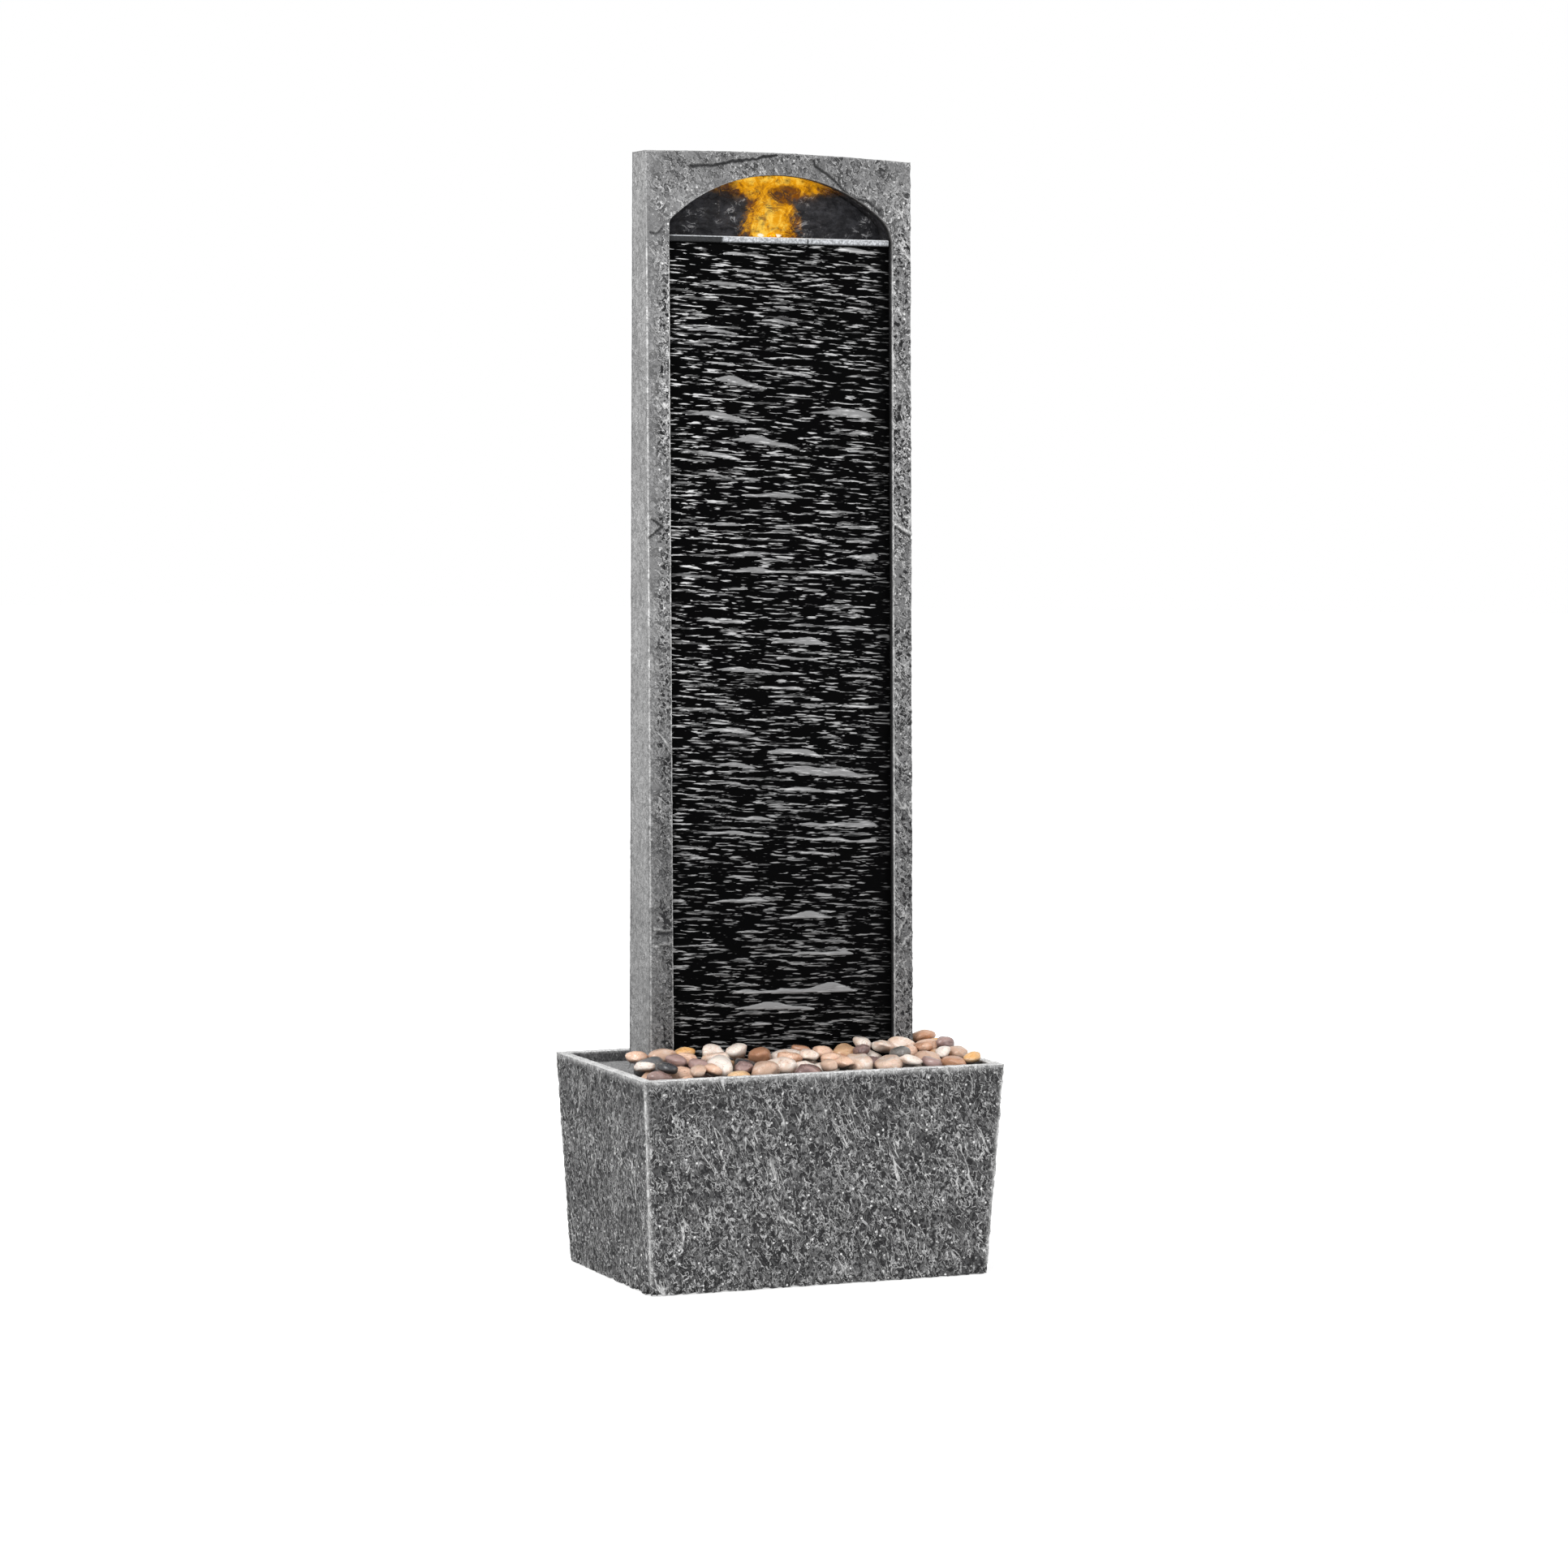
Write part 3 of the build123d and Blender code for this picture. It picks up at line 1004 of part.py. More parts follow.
def skin_heights(axes, matrix):
    """Lower and upper height of an ellipsoid over each cell of a square patch, nan outside it."""
    reach = int(max(axes) / PEBBLE_CELL) + 1
    steps = np.arange(-reach, reach + 1) * PEBBLE_CELL
    x, y = np.meshgrid(steps, steps, indexing="ij")
    form = matrix @ np.diag(1 / np.square(axes)) @ matrix.T
    half_b = form[0, 2] * x + form[1, 2] * y
    c = form[0, 0] * x**2 + 2 * form[0, 1] * x * y + form[1, 1] * y**2 - 1
    inside = half_b**2 - form[2, 2] * c
    root = np.sqrt(np.where(inside > 0, inside, np.nan))
    return (-half_b - root) / form[2, 2], (-half_b + root) / form[2, 2]


def lay_pebbles():
    """Colour, centre, semi-axes and angles of each pebble; each one takes the lowest of its tried places."""
    draw = np.random.default_rng(PEBBLE_SEED)
    shares = np.array(list(PEBBLE_COLOURS.values()))
    half_x = wall_half(INNER_HALF_X, DECK_TOP)
    half_y = wall_half(INNER_HALF_Y, DECK_TOP)
    xs = np.arange(-half_x, half_x, PEBBLE_CELL)
    ys = np.arange(-half_y, half_y, PEBBLE_CELL)
    ground = np.full((len(xs), len(ys)), DECK_TOP)
    tower_x = np.abs(xs) < TOWER_WIDTH / 2 + FOOT_COVE
    tower_y = ys > FRONT_FOOT_Y - PEBBLE_GAP
    ground[np.ix_(tower_x, tower_y)] = np.inf
    laid = []
    for _ in range(PEBBLE_TRIES):
        length = draw.uniform(*PEBBLE_LENGTH)
        axes = np.array([1, draw.uniform(*PEBBLE_WIDTH), draw.uniform(*PEBBLE_THICK)]) * length / 2
        angles = (draw.uniform(0, 180), *draw.uniform(-PEBBLE_TILT, PEBBLE_TILT, 2))
        low, high = skin_heights(axes + PEBBLE_GAP / 2, turned(*angles))
        covered = ~np.isnan(low)
        reach = len(low) // 2
        best = None
        for _ in range(PEBBLE_PLACES):
            i = draw.integers(reach, len(xs) - reach)
            j = draw.integers(reach, len(ys) - reach)
            end_y = HEAP_RIGHT_END_Y if xs[i] > 0 else HEAP_LEFT_END_Y
            under = ground[i - reach : i + reach + 1, j - reach : j + reach + 1]
            rest = np.max((under - low)[covered])
            share = np.clip((ys[j] + half_y) / (FRONT_FOOT_Y + half_y), 0, 1)
            top = DECK_TOP + HEAP_FRONT + (HEAP_BACK - HEAP_FRONT) * share
            if ys[j] < end_y and rest + np.nanmax(high) < top and (best is None or rest < best[0]):
                best = (rest, i, j)
        colour = draw.choice(list(PEBBLE_COLOURS), p=shares / shares.sum())
        if best:
            rest, i, j = best
            patch = ground[i - reach : i + reach + 1, j - reach : j + reach + 1]
            patch[covered] = np.maximum(patch, rest + high)[covered]
            laid.append((str(colour), (xs[i], ys[j], rest), axes, angles))
    return laid


pebbles = lay_pebbles()
print("pebbles laid:", len(pebbles))
ball = Solid.make_sphere(1)
for colour in PEBBLE_COLOURS:
    with BuildPart() as stones:
        for name, centre, axes, angles in pebbles:
            if name == colour:
                stone = ball.scale(tuple(float(a) for a in axes))
                turn = Rot(Z=angles[0]) * Rot(Y=angles[1]) * Rot(X=angles[2])
                add(Pos(*(float(c) for c in centre)) * turn * stone)
    save(stones.part, f"pebbles_{colour}")
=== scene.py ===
"""Looks of a cascading garden fountain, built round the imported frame.

New pieces are surfaces worked out with numpy, in metres and in the frame's own axes: +X right, +Y back, +Z up.
"""

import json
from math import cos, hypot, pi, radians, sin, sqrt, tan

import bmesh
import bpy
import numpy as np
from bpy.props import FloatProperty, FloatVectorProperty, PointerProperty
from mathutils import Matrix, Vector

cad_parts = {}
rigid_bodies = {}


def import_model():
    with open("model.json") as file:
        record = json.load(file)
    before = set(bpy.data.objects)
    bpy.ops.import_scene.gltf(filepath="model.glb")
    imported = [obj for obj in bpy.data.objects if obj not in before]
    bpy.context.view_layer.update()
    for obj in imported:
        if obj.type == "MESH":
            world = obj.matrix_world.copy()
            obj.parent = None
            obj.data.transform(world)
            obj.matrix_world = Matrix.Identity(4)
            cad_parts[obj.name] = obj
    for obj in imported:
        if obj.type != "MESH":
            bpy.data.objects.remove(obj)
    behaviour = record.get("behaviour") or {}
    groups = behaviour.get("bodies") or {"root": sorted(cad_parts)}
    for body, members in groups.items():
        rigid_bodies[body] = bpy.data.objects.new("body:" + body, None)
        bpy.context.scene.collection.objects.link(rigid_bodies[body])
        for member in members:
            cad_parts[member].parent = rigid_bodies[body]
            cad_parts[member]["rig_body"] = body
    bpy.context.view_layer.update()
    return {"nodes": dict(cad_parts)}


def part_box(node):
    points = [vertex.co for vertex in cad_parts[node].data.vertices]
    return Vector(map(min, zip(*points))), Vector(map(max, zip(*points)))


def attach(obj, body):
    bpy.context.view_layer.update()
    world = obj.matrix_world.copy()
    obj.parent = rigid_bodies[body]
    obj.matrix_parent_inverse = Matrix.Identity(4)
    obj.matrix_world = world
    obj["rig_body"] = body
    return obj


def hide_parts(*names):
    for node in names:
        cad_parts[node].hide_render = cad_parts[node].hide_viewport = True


bl_info = {
    "name": "Cascading Fountain",
    "version": (1, 0, 0),
    "blender": (4, 5, 0),
    "location": "3D View > Sidebar > Fountain",
    "description": "Cast stone skins, wet slate cascade, lit niche and pebbles of a garden fountain",
    "category": "Add Mesh",
}

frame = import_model()

# Places read from the frame
BASIN_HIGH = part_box("basin")[1]
DECK_LOW, TOWER_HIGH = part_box("tower_shell")
PANEL_LOW, PANEL_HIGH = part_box("tower_back_panel")
CASCADE_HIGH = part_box("cascade_panel")[1]
LIP_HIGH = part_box("spill_trough")[1]
LINER_LOW, LINER_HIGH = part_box("niche_liner")
LENS_LOW, LENS_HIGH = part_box("led_lens")
GROMMET_LOW, GROMMET_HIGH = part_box("cord_grommet")

# Grid counts
WALL_ROWS = 112
BASIN_SIDES = (226, 96, 96, 124)
DECK_SIDES = (110, 60, 80, 60)
DECK_ROWS = (34, 6)  # upper and lower face
CORNER_STEPS = 5
LEG_COLUMNS = 430
CHEEK_COLUMNS = 110
TOP_COLUMNS = 300
FRONT_ROWS = 30
EDGE_ROWS = 5
SIDE_ROWS = 14
CASCADE_COLUMNS = 106
CASCADE_ROWS = 880
NICHE_COLUMNS = 180
NICHE_ROWS = 56
PEBBLE_GRID = (14, 26)
SLOT_STEPS = 6
OUTLET_STEPS = 36
FLOOR_STEPS = 48

# Small forms
TOWER_LIP = 0.0007  # broken edge round the opening
CHIP_DEPTH = 0.0022  # at the basin's foot
FOOT_WEAR = 0.0075  # height that is worn off at the foot of the basin's front left corner
DECK_EDGE = 0.0008
DECK_RELIEF = 0.0008
OUTLET_PLAY = 0.003  # from the grommet's flange to the hole's edge
CUT_PAST = (0.01, 0.004)  # how far the outlet's and the drains' cutters stand out of the wall and the deck
DRAIN_SLOT = (0.028, 0.004)
DRAIN_PITCH = (0.040, 0.020)
DRAIN_COUNT = (6, 3)
NICHE_GROWTH = 0.0006  # how far the niche's face reaches behind the opening's edge
LINER_WALL = 0.0024
PEBBLE_FULL = 0.86  # power that fills a ball out towards its box
PEBBLE_GROWTH = 1.14  # pebbles press into each other, which closes the heap
PEBBLE_PLAY = 0.0006  # from the heap to the deck's edge and upper face
PEBBLE_PLANES = 7
PEBBLE_CAP = (0.74, 0.95)  # distance of the planes from the middle

# Cracks, pale strokes and a chipped ledge on the tower's front face, as points of X and Z
CRACKS = (
    ((0.0321, 0.9748), (0.034, 0.9689), (0.0451, 0.9625), (0.0535, 0.9559), (0.0618, 0.9476), (0.0712, 0.9419),
     (0.0824, 0.9406), (0.0955, 0.9324)),
    ((-0.0836, 0.9661), (-0.0618, 0.9671), (-0.0471, 0.9706), (-0.0233, 0.9739), (-0.003, 0.9779)),
    ((-0.1211, 0.9081), (-0.1175, 0.9065), (-0.1102, 0.9109)),
    ((-0.1244, 0.645), (-0.1117, 0.6543), (-0.1216, 0.661)),
    ((-0.119, 0.3009), (-0.1128, 0.3013), (-0.1047, 0.3021)),
)
STROKES = (
    ((-0.1216, 0.3059), (-0.1127, 0.3038), (-0.103, 0.3035)),
    ((-0.1221, 0.2905), (-0.1128, 0.2919), (-0.103, 0.2932)),
    ((0.111, 0.2916), (0.1144, 0.3017), (0.12, 0.3108)),
    ((0.1125, 0.2797), (0.1181, 0.288), (0.1237, 0.2929)),
)
LEDGE = ((0.1116, 0.6544), (0.1172, 0.651), (0.1267, 0.6466))
LEDGE_FALL = -0.52
CRACK_HIGHLIGHT = (-0.0009, 0.0011)  # from a crack to its painted highlight, up and to the left
# Distances from a mark's line at which it starts and is full
CRACK_WIDTH = (0.0020, 0.0007)
CRACK_HIGHLIGHT_WIDTH = (0.0013, 0.0002)
STROKE_WIDTH = (0.0014, 0.0004)
CRACK_DEPTH = 0.0009
UNDER_DEPTH = 0.0008
LIFT_HEIGHT = 0.0010
STROKE_HEIGHT = 0.0005

# Layers of flakes on the cascade: pitch, length, cover and seed
BROAD_FLAKES = (0.0145, 0.072, 0.16, 101)
NARROW_FLAKES = (0.0062, 0.034, 0.24, 111)
FLAKE_FALL = 0.06  # fall of the cascade's courses towards the right
FLAKE_TILT = (0.0, radians(3.0), 0.0)

# Light on the niche. The ovals have their middle's X and height over the lip, half width and half height.
FAN_FOOT = 0.0240
FAN_SPREAD = 0.026
BROWN_OVAL = (0.0145, 0.0395, 0.0145, 0.0075)
SPOT_OVAL = (0.008, 0.0026, 0.0036, 0.0016)
LAMP_COLOUR = (1.0, 0.56, 0.14)
LAMP_SOFTNESS = 0.004
LAMP_RISE = 0.014  # over the lens
LIP_DARK_LEFT = (-0.050, -0.054)  # X where the lip turns dark
LIP_SEAM = 0.028

STONE_CELLS = 175.0  # per metre, in the rough cast
BLACK = (0.0, 0.0, 0.0)
WHITE = (1.0, 1.0, 1.0)

# Pebbles: light tone, deep tone and veins
PEBBLES = {
    "tan": ((0.74, 0.50, 0.37), (0.52, 0.28, 0.17), (0.28, 0.12, 0.06)),
    "cream": ((0.84, 0.76, 0.69), (0.70, 0.52, 0.41), (0.42, 0.23, 0.14)),
    "amber": ((0.74, 0.40, 0.13), (0.76, 0.55, 0.35), (0.36, 0.13, 0.04)),
    "mauve": ((0.36, 0.24, 0.22), (0.15, 0.090, 0.085), (0.46, 0.32, 0.28)),
    "slate": ((0.040, 0.042, 0.047), (0.11, 0.113, 0.12), (0.28, 0.25, 0.21)),
}
# Finishes of the fittings by slot: name, tone, shade, clouds per metre, least roughness, depth of grain and
# constants
FITTINGS = {
    "pump_black": ("pump_black", (0.012, 0.012, 0.013), (0.022, 0.022, 0.024), 160.0, 0.30, 0.0002, {}),
    "black_rubber": ("black_rubber", (0.010, 0.010, 0.010), (0.020, 0.020, 0.021), 220.0, 0.52, 0.0003, {}),
    "clear_hose": ("clear_hose", (0.82, 0.86, 0.85), (0.90, 0.93, 0.92), 60.0, 0.06, 0.0001,
                   {"Transmission_Weight": 0.85, "IOR": 1.42}),
    "white_plastic": ("white_plastic", (0.72, 0.72, 0.70), (0.80, 0.80, 0.78), 120.0, 0.25, 0.0001, {}),
    "steel": ("steel", (0.52, 0.52, 0.53), (0.66, 0.66, 0.67), 700.0, 0.20, 0.0001, {"Metallic": 1.0}),
    "ceramic_white": ("ceramic", (0.78, 0.76, 0.72), (0.85, 0.84, 0.81), 300.0, 0.12, 0.00005, {}),
    "ferrite": ("ferrite", (0.030, 0.029, 0.029), (0.055, 0.053, 0.052), 400.0, 0.42, 0.0002, {}),
    "board_green": ("board", (0.015, 0.12, 0.05), (0.03, 0.18, 0.08), 900.0, 0.28, 0.0001, {}),
}

# Soft lamps: place and size
LAMPS = {"key": ((-2.3, -2.3, 2.3), 1.6), "fill": ((2.2, -2.4, 1.3), 1.8)}
LAMP_TARGET = (0.0, 0.0, 0.45)
FLOOR_RADII = (0.0, 0.6, 2.0, 6.0, 20.0)
FLOOR_DROP = 0.0002

MERGE_DISTANCE = 1e-6
TINY = 1e-9


def size_value(description, default):
    """A length that a user may change."""
    return FloatProperty(description=description, default=default, unit="LENGTH", precision=4)


def angle_value(description, degrees):
    """An angle that a user may change, given in degrees."""
    return FloatProperty(description=description, default=radians(degrees), subtype="ANGLE")


def colour_value(description, default):
    """A linear colour that a user may change."""
    return FloatVectorProperty(
        description=description, default=default, subtype="COLOR", size=3, min=0.0, max=1.0
    )


class FountainSizes(bpy.types.PropertyGroup):
    """Sizes of the stone skins and their relief."""

    basin_draft: angle_value("Angle that each basin wall leans out", 3.25)
    basin_wall: size_value("Thickness of the basin's walls at the rim", 0.010)
    basin_floor: size_value("Thickness of the basin's floor", 0.010)
    basin_corner: size_value("Radius of the basin's upright corners", 0.0022)
    basin_edge: size_value("Radius of the rim's and foot's edges", 0.0011)
    shelf_reach: size_value("How far the deck's shelf stands in from the walls", 0.006)
    shelf_height: size_value("Height of the deck's shelf", 0.010)
    shelf_gap: size_value("Play between the shelf and the deck", 0.0002)
    basin_relief: size_value("Depth of the basin's rough cast", 0.0017)
    tower_half: size_value("Half of the tower's width", 0.126)
    tower_foot: size_value("Y of the tower's front face at the deck", -0.0132)
    tower_lean: angle_value("Angle that the front face leans back", 1.392)
    tower_edge: size_value("Radius of the tower's front outer edge", 0.002)
    tower_relief: size_value("Depth of the tower's rough cast", 0.0011)
    front_wall: size_value("Thickness of the tower's front", 0.008)
    side_wall: size_value("Thickness of the tower's sides", 0.008)
    top_wall: size_value("Thickness of the tower's top at its crown", 0.012)
    rebate_lap: size_value("Width of the ledge that carries the back panel", 0.004)
    top_bow: size_value("Fall of the tower's top edge from its crown to the right", 0.0045)
    top_crown: size_value("X of the highest place of the tower's top edge", -0.030)
    opening_left: size_value("From the middle to the opening's left side", 0.1038)
    opening_right: size_value("From the middle to the opening's right side", 0.1070)
    arch_radius: size_value("Radius of the opening's arch", 0.150)
    arch_centre: size_value("Height of the arch's centre", 0.810)
    blend_left: size_value("Radius where the arch meets the left side", 0.008)
    blend_right: size_value("Radius where the arch meets the right side", 0.030)
    foot_cove: size_value("Radius of the cove between the tower and its deck", 0.004)
    deck_thick: size_value("Thickness of the deck", 0.008)
    pass_half: size_value("Half width of the deck's hole for the hose and lead", 0.109)
    pass_front: size_value("Y of the front of the deck's hole", -0.0008)
    pass_back: size_value("Y of the back of the deck's hole", 0.0334)
    cascade_half: size_value("Half of the cascade plate's width", 0.114)
    cascade_depth: size_value("Plate's front behind the tower's front face", 0.0082)
    cascade_plate: size_value("Thickness of the cascade's plate", 0.004)
    cascade_rise: size_value("Height of the split flakes on the cascade", 0.0036)
    niche_relief: size_value("Depth of the split stone behind the light", 0.0042)
    niche_gap: size_value("Play between the niche's face and its liner", 0.0002)


class FountainColours(bpy.types.PropertyGroup):
    """Linear colours of the finishes."""

    basin_body: colour_value("Basin's cast between its crests", (0.064, 0.064, 0.065))
    basin_crest: colour_value("Rubbed crests of the basin's cast", (0.56, 0.56, 0.562))
    tower_body: colour_value("Tower's cast between its crests", (0.178, 0.178, 0.180))
    tower_crest: colour_value("Rubbed crests of the tower's cast", (0.70, 0.70, 0.702))
    # Also the painted highlights beside cracks.
    stone_bare: colour_value("Worn edges and bright beads", (0.93, 0.93, 0.925))
    # Also the painted shadow beside ridges and the painted shade of the reveal and under the ledge.
    stone_pit: colour_value("Pits and cracks", (0.010, 0.010, 0.011))
    slate_wet: colour_value("Wet hollows of the cascade", (0.0014, 0.0014, 0.0015))
    # Painted sheen on the wet flakes.
    slate_flake: colour_value("Flat faces of the cascade's flakes", (0.22, 0.22, 0.222))
    # Painted highlights on the flakes' lower edges and on thin dashes.
    slate_edge: colour_value("Lower edges of the flakes", (0.80, 0.80, 0.805))
    niche_dark: colour_value("Split stone of the niche", (0.017, 0.017, 0.019))
    niche_pale: colour_value("Edges of the niche's split stone", (0.34, 0.34, 0.35))
    glow_core: colour_value("Light on the niche close to the lamp", (1.0, 0.60, 0.07))
    glow_mid: colour_value("Light on the niche inside the fan", (0.80, 0.34, 0.003))
    glow_rim: colour_value("Light on the niche at the fan's edge", (0.20, 0.060, 0.001))
    lamp_spot: colour_value("Hot spots of the lamp", (1.0, 0.95, 0.78))
    lip_body: colour_value("Trough and its lip", (0.25, 0.257, 0.268))
    # Also the painted highlight along the lip's top.
    lip_pale: colour_value("Rubbed parts of the lip", (0.60, 0.62, 0.65))


class FountainView(bpy.types.PropertyGroup):
    """Camera and light."""

    place: FloatVectorProperty(
        description="Where the camera stands", default=(-1.565375, -3.704417, 0.700386),
        subtype="TRANSLATION", unit="LENGTH",
    )
    turn: angle_value("Angle from +Y towards +X that the camera looks along", 22.962)
    pitch: angle_value("Angle that the camera looks down", 3.866)
    roll: angle_value("Turn of the camera round its own axis", 0.303)
    lens: FloatProperty(description="Focal length on a 36 mm frame", default=105.338, unit="CAMERA")
    ambient: FloatProperty(description="Strength of the even light all round", default=0.78)
    key: FloatProperty(description="Power of the soft lamp at the upper left", default=93.0, unit="POWER")
    fill: FloatProperty(description="Power of the soft lamp at the right", default=24.0, unit="POWER")
    lamp: FloatProperty(description="Power of the niche's own light", default=0.01, unit="POWER")


# Noise


def lattice_slopes():
    """The twelve slopes of gradient noise: the directions from a cube's centre to the middles of its edges."""
    steps = np.array(list(np.ndindex(3, 3, 3))) - 1
    return steps[np.abs(steps).sum(1) == 2].astype(float)


SLOPES = lattice_slopes()
HASH_STEPS = np.array([374761393, 668265263, 982451653])
HASH_SEED = 97471127
HASH_TURN = 1274126177
HASH_MASK = 0xFFFFFFFF


def noise(points, cell, seed=0):
    """Gradient noise of about -1 to 1.

    Each corner of a lattice of that cell has one of twelve slopes, picked by an integer hash. The heights that
    the slopes of a point's eight corners give are blended by quintic weights.
    """
    place = points / cell
    base = np.floor(place).astype(np.int64)
    offset = place - base
    weight = offset**3 * (offset * (offset * 6 - 15) + 10)
    total = np.zeros(points.shape[:-1])
    for corner in np.ndindex(2, 2, 2):
        key = ((base + corner) @ HASH_STEPS + seed * HASH_SEED) & HASH_MASK
        key = ((key ^ (key >> 13)) * HASH_TURN) & HASH_MASK
        slope = SLOPES[(key ^ (key >> 16)) % len(SLOPES)]
        share = np.prod(np.where(corner, weight, 1 - weight), axis=-1)
        total += share * np.sum(slope * (offset - corner), axis=-1)
    return total


def fractal(points, cell, octaves, seed=0):
    """Gradient noise summed over octaves, each with half the cell and half the height of the one before."""
    return sum(noise(points, np.asarray(cell) / 2**k, seed + k) / 2**k for k in range(octaves))


def smooth(value, low, high):
    """0 below low, 1 above high and a smooth step between. It falls where low is above high."""
    share = np.clip((value - low) / (high - low), 0, 1)
    return share * share * (3 - 2 * share)


def ridge(value, width):
    """1 where the value is 0, falling straight to 0 at plus and minus the width."""
    return np.clip(1 - np.abs(value) / width, 0, 1)


def bell(value, width):
    """1 where the value is 0, falling as exp(-(value / width)^2)."""
    return np.exp(-(value / width) ** 2)


def slanted(points, angle):
    """Points in axes turned about Y, so that the last one runs down to the right at the angle from upright."""
    x, y, z = np.moveaxis(points, -1, 0)
    return np.stack([x * cos(angle) + z * sin(angle), y, x * sin(angle) - z * cos(angle)], -1)


# Grids and meshes


def grid_faces(rows, columns, wrap_rows=False, wrap_columns=False):
    """Quads of a grid of points stored row by row, joined end to end where it wraps."""
    row = np.arange(rows if wrap_rows else rows - 1)[:, None]
    column = np.arange(columns if wrap_columns else columns - 1)[None, :]
    row_after = (row + 1) % rows
    column_after = (column + 1) % columns
    corners = (
        row * columns + column,
        row * columns + column_after,
        row_after * columns + column_after,
        row_after * columns + column,
    )
    return np.stack(np.broadcast_arrays(*corners), -1).reshape(-1, 4)


def grid_normals(grid, wrap_rows=False, wrap_columns=False):
    """Unit cross product of a grid's slopes along its columns and down its rows."""

    def slope(axis, wrap):
        if wrap:
            return np.roll(grid, -1, axis) - np.roll(grid, 1, axis)
        return np.gradient(grid, axis=axis)

    normal = np.cross(slope(1, wrap_columns), slope(0, wrap_rows))
    return normal / np.maximum(np.linalg.norm(normal, axis=-1, keepdims=True), TINY)


def add_heights(flat, heights):
    """Points of X and Y with heights of their own, given for each row or each point."""
    return np.concatenate([flat, np.broadcast_to(heights, flat.shape[:2])[..., None]], -1)


def linked(name, data):
    """A new object of that data, in the scene."""
    thing = bpy.data.objects.new(name, data)
    bpy.context.scene.collection.objects.link(thing)
    return thing


def make_mesh(name, points, faces, **attributes):
    """A mesh from points and faces, with one number per point for each attribute.

    Points at one place are merged, which closes seams and poles, and the faces are turned outwards.
    """
    mesh = bpy.data.meshes.new(name)
    mesh.from_pydata(points.reshape(-1, 3).tolist(), [], faces)
    for key, values in attributes.items():
        layer = mesh.attributes.new(key, "FLOAT", "POINT")
        layer.data.foreach_set("value", np.asarray(values, np.float32).ravel())
    tidy = bmesh.new()
    tidy.from_mesh(mesh)
    bmesh.ops.remove_doubles(tidy, verts=tidy.verts, dist=MERGE_DISTANCE)
    bmesh.ops.recalc_face_normals(tidy, faces=tidy.faces)
    tidy.to_mesh(mesh)
    tidy.free()
    return mesh


def make_piece(name, points, faces, body, slot, material, **attributes):
    """A smooth piece of the fountain that rides on a body, with its material and its numbers per point."""
    mesh = make_mesh(name, points, faces, **attributes)
    mesh.shade_smooth()
    mesh.materials.append(material)
    piece = linked(name, mesh)
    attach(piece, body)
    return piece


def slab(front, back):
    """A closed sheet: the front grid, a border on the back grid's edge and one face that closes the back."""
    around = ((1, 1), (1, 1), (0, 0))
    points = np.pad(front, around, mode="edge")
    border = np.ones(points.shape[:2], bool)
    border[1:-1, 1:-1] = False
    points[border] = np.pad(back, around, mode="edge")[border]
    rows, columns = border.shape
    index = np.arange(rows * columns).reshape(rows, columns)
    loop = np.concatenate([index[0, :-1], index[:-1, -1], index[-1, :0:-1], index[:0:-1, 0]])
    return points, grid_faces(rows, columns).tolist() + [loop.tolist()]


def padded(values):
    """A front grid's values carried onto the border that slab() adds."""
    return np.pad(values, 1, mode="edge")


def cut_prisms(piece, name, outlines, ends):
    """Takes prisms out of a piece, for good: each outline's points, from one end's offset to the other's."""
    points = outlines[:, None] + ends[None, :, None]
    step = 2 * outlines.shape[1]
    one = grid_faces(2, step // 2, wrap_columns=True).tolist() + np.arange(step).reshape(2, -1).tolist()
    starts = range(0, step * len(outlines), step)
    mesh = make_mesh(name, points, [[corner + start for corner in face] for start in starts for face in one])
    cutter = linked(name, mesh)
    modifier = piece.modifiers.new(name, "BOOLEAN")
    modifier.operation = "DIFFERENCE"
    modifier.solver = "EXACT"
    modifier.object = cutter
    graph = bpy.context.evaluated_depsgraph_get()
    result = bpy.data.meshes.new_from_object(piece.evaluated_get(graph))
    piece.modifiers.clear()
    if len(result.polygons) == len(piece.data.polygons):
        raise RuntimeError(f"{name} cut nothing from {piece.name}")
    spare = piece.data
    piece.data = result
    bpy.data.meshes.remove(spare)
    bpy.data.objects.remove(cutter)
    bpy.data.meshes.remove(mesh)


def rounded_loop(counts):
    """Columns round a rounded rectangle, anticlockwise from above, from the front left corner.

    Returns each column's place on the corner centres' rectangle, from -1 to 1 on each axis, and its outward
    direction. A loop with half sizes h and corner radius r is then place * (h - r) + direction * r.
    """
    corners = np.array([(-1, -1), (1, -1), (1, 1), (-1, 1)], float)
    bend = np.linspace(0, pi / 2, CORNER_STEPS + 2)[1:-1]
    places = []
    angles = []
    for side, count in enumerate(counts):
        end = corners[(side + 1) % 4]
        square_on = (side - 1) * pi / 2
        places.append(corners[side] + (end - corners[side]) * np.linspace(0, 1, count)[:, None])
        places.append(np.repeat(end[None], CORNER_STEPS, 0))
        angles.append(np.full(count, square_on))
        angles.append(square_on + bend)
    angles = np.concatenate(angles)
    return np.concatenate(places), np.stack([np.cos(angles), np.sin(angles)], -1)


def arc(centre, radius, start, steps=5):
    """Points of a quarter circle, anticlockwise from the start angle in degrees."""
    turn = radians(start) + np.linspace(0, pi / 2, steps)
    return centre[0] + radius * np.cos(turn), centre[1] + radius * np.sin(turn)


# Shader trees


class Value:
    """A number, place or colour in a node tree. Sums that are written with it become math nodes."""

    def __init__(self, tree, socket):
        self.tree = tree
        self.socket = socket

    def __add__(self, other):
        return self.tree.math("ADD", self, other)

    def __sub__(self, other):
        return self.tree.math("SUBTRACT", self, other)

    def __mul__(self, other):
        return self.tree.math("MULTIPLY", self, other)

    def __truediv__(self, other):
        return self.tree.math("DIVIDE", self, other)

    def __abs__(self):
        return self.tree.math("ABSOLUTE", self)


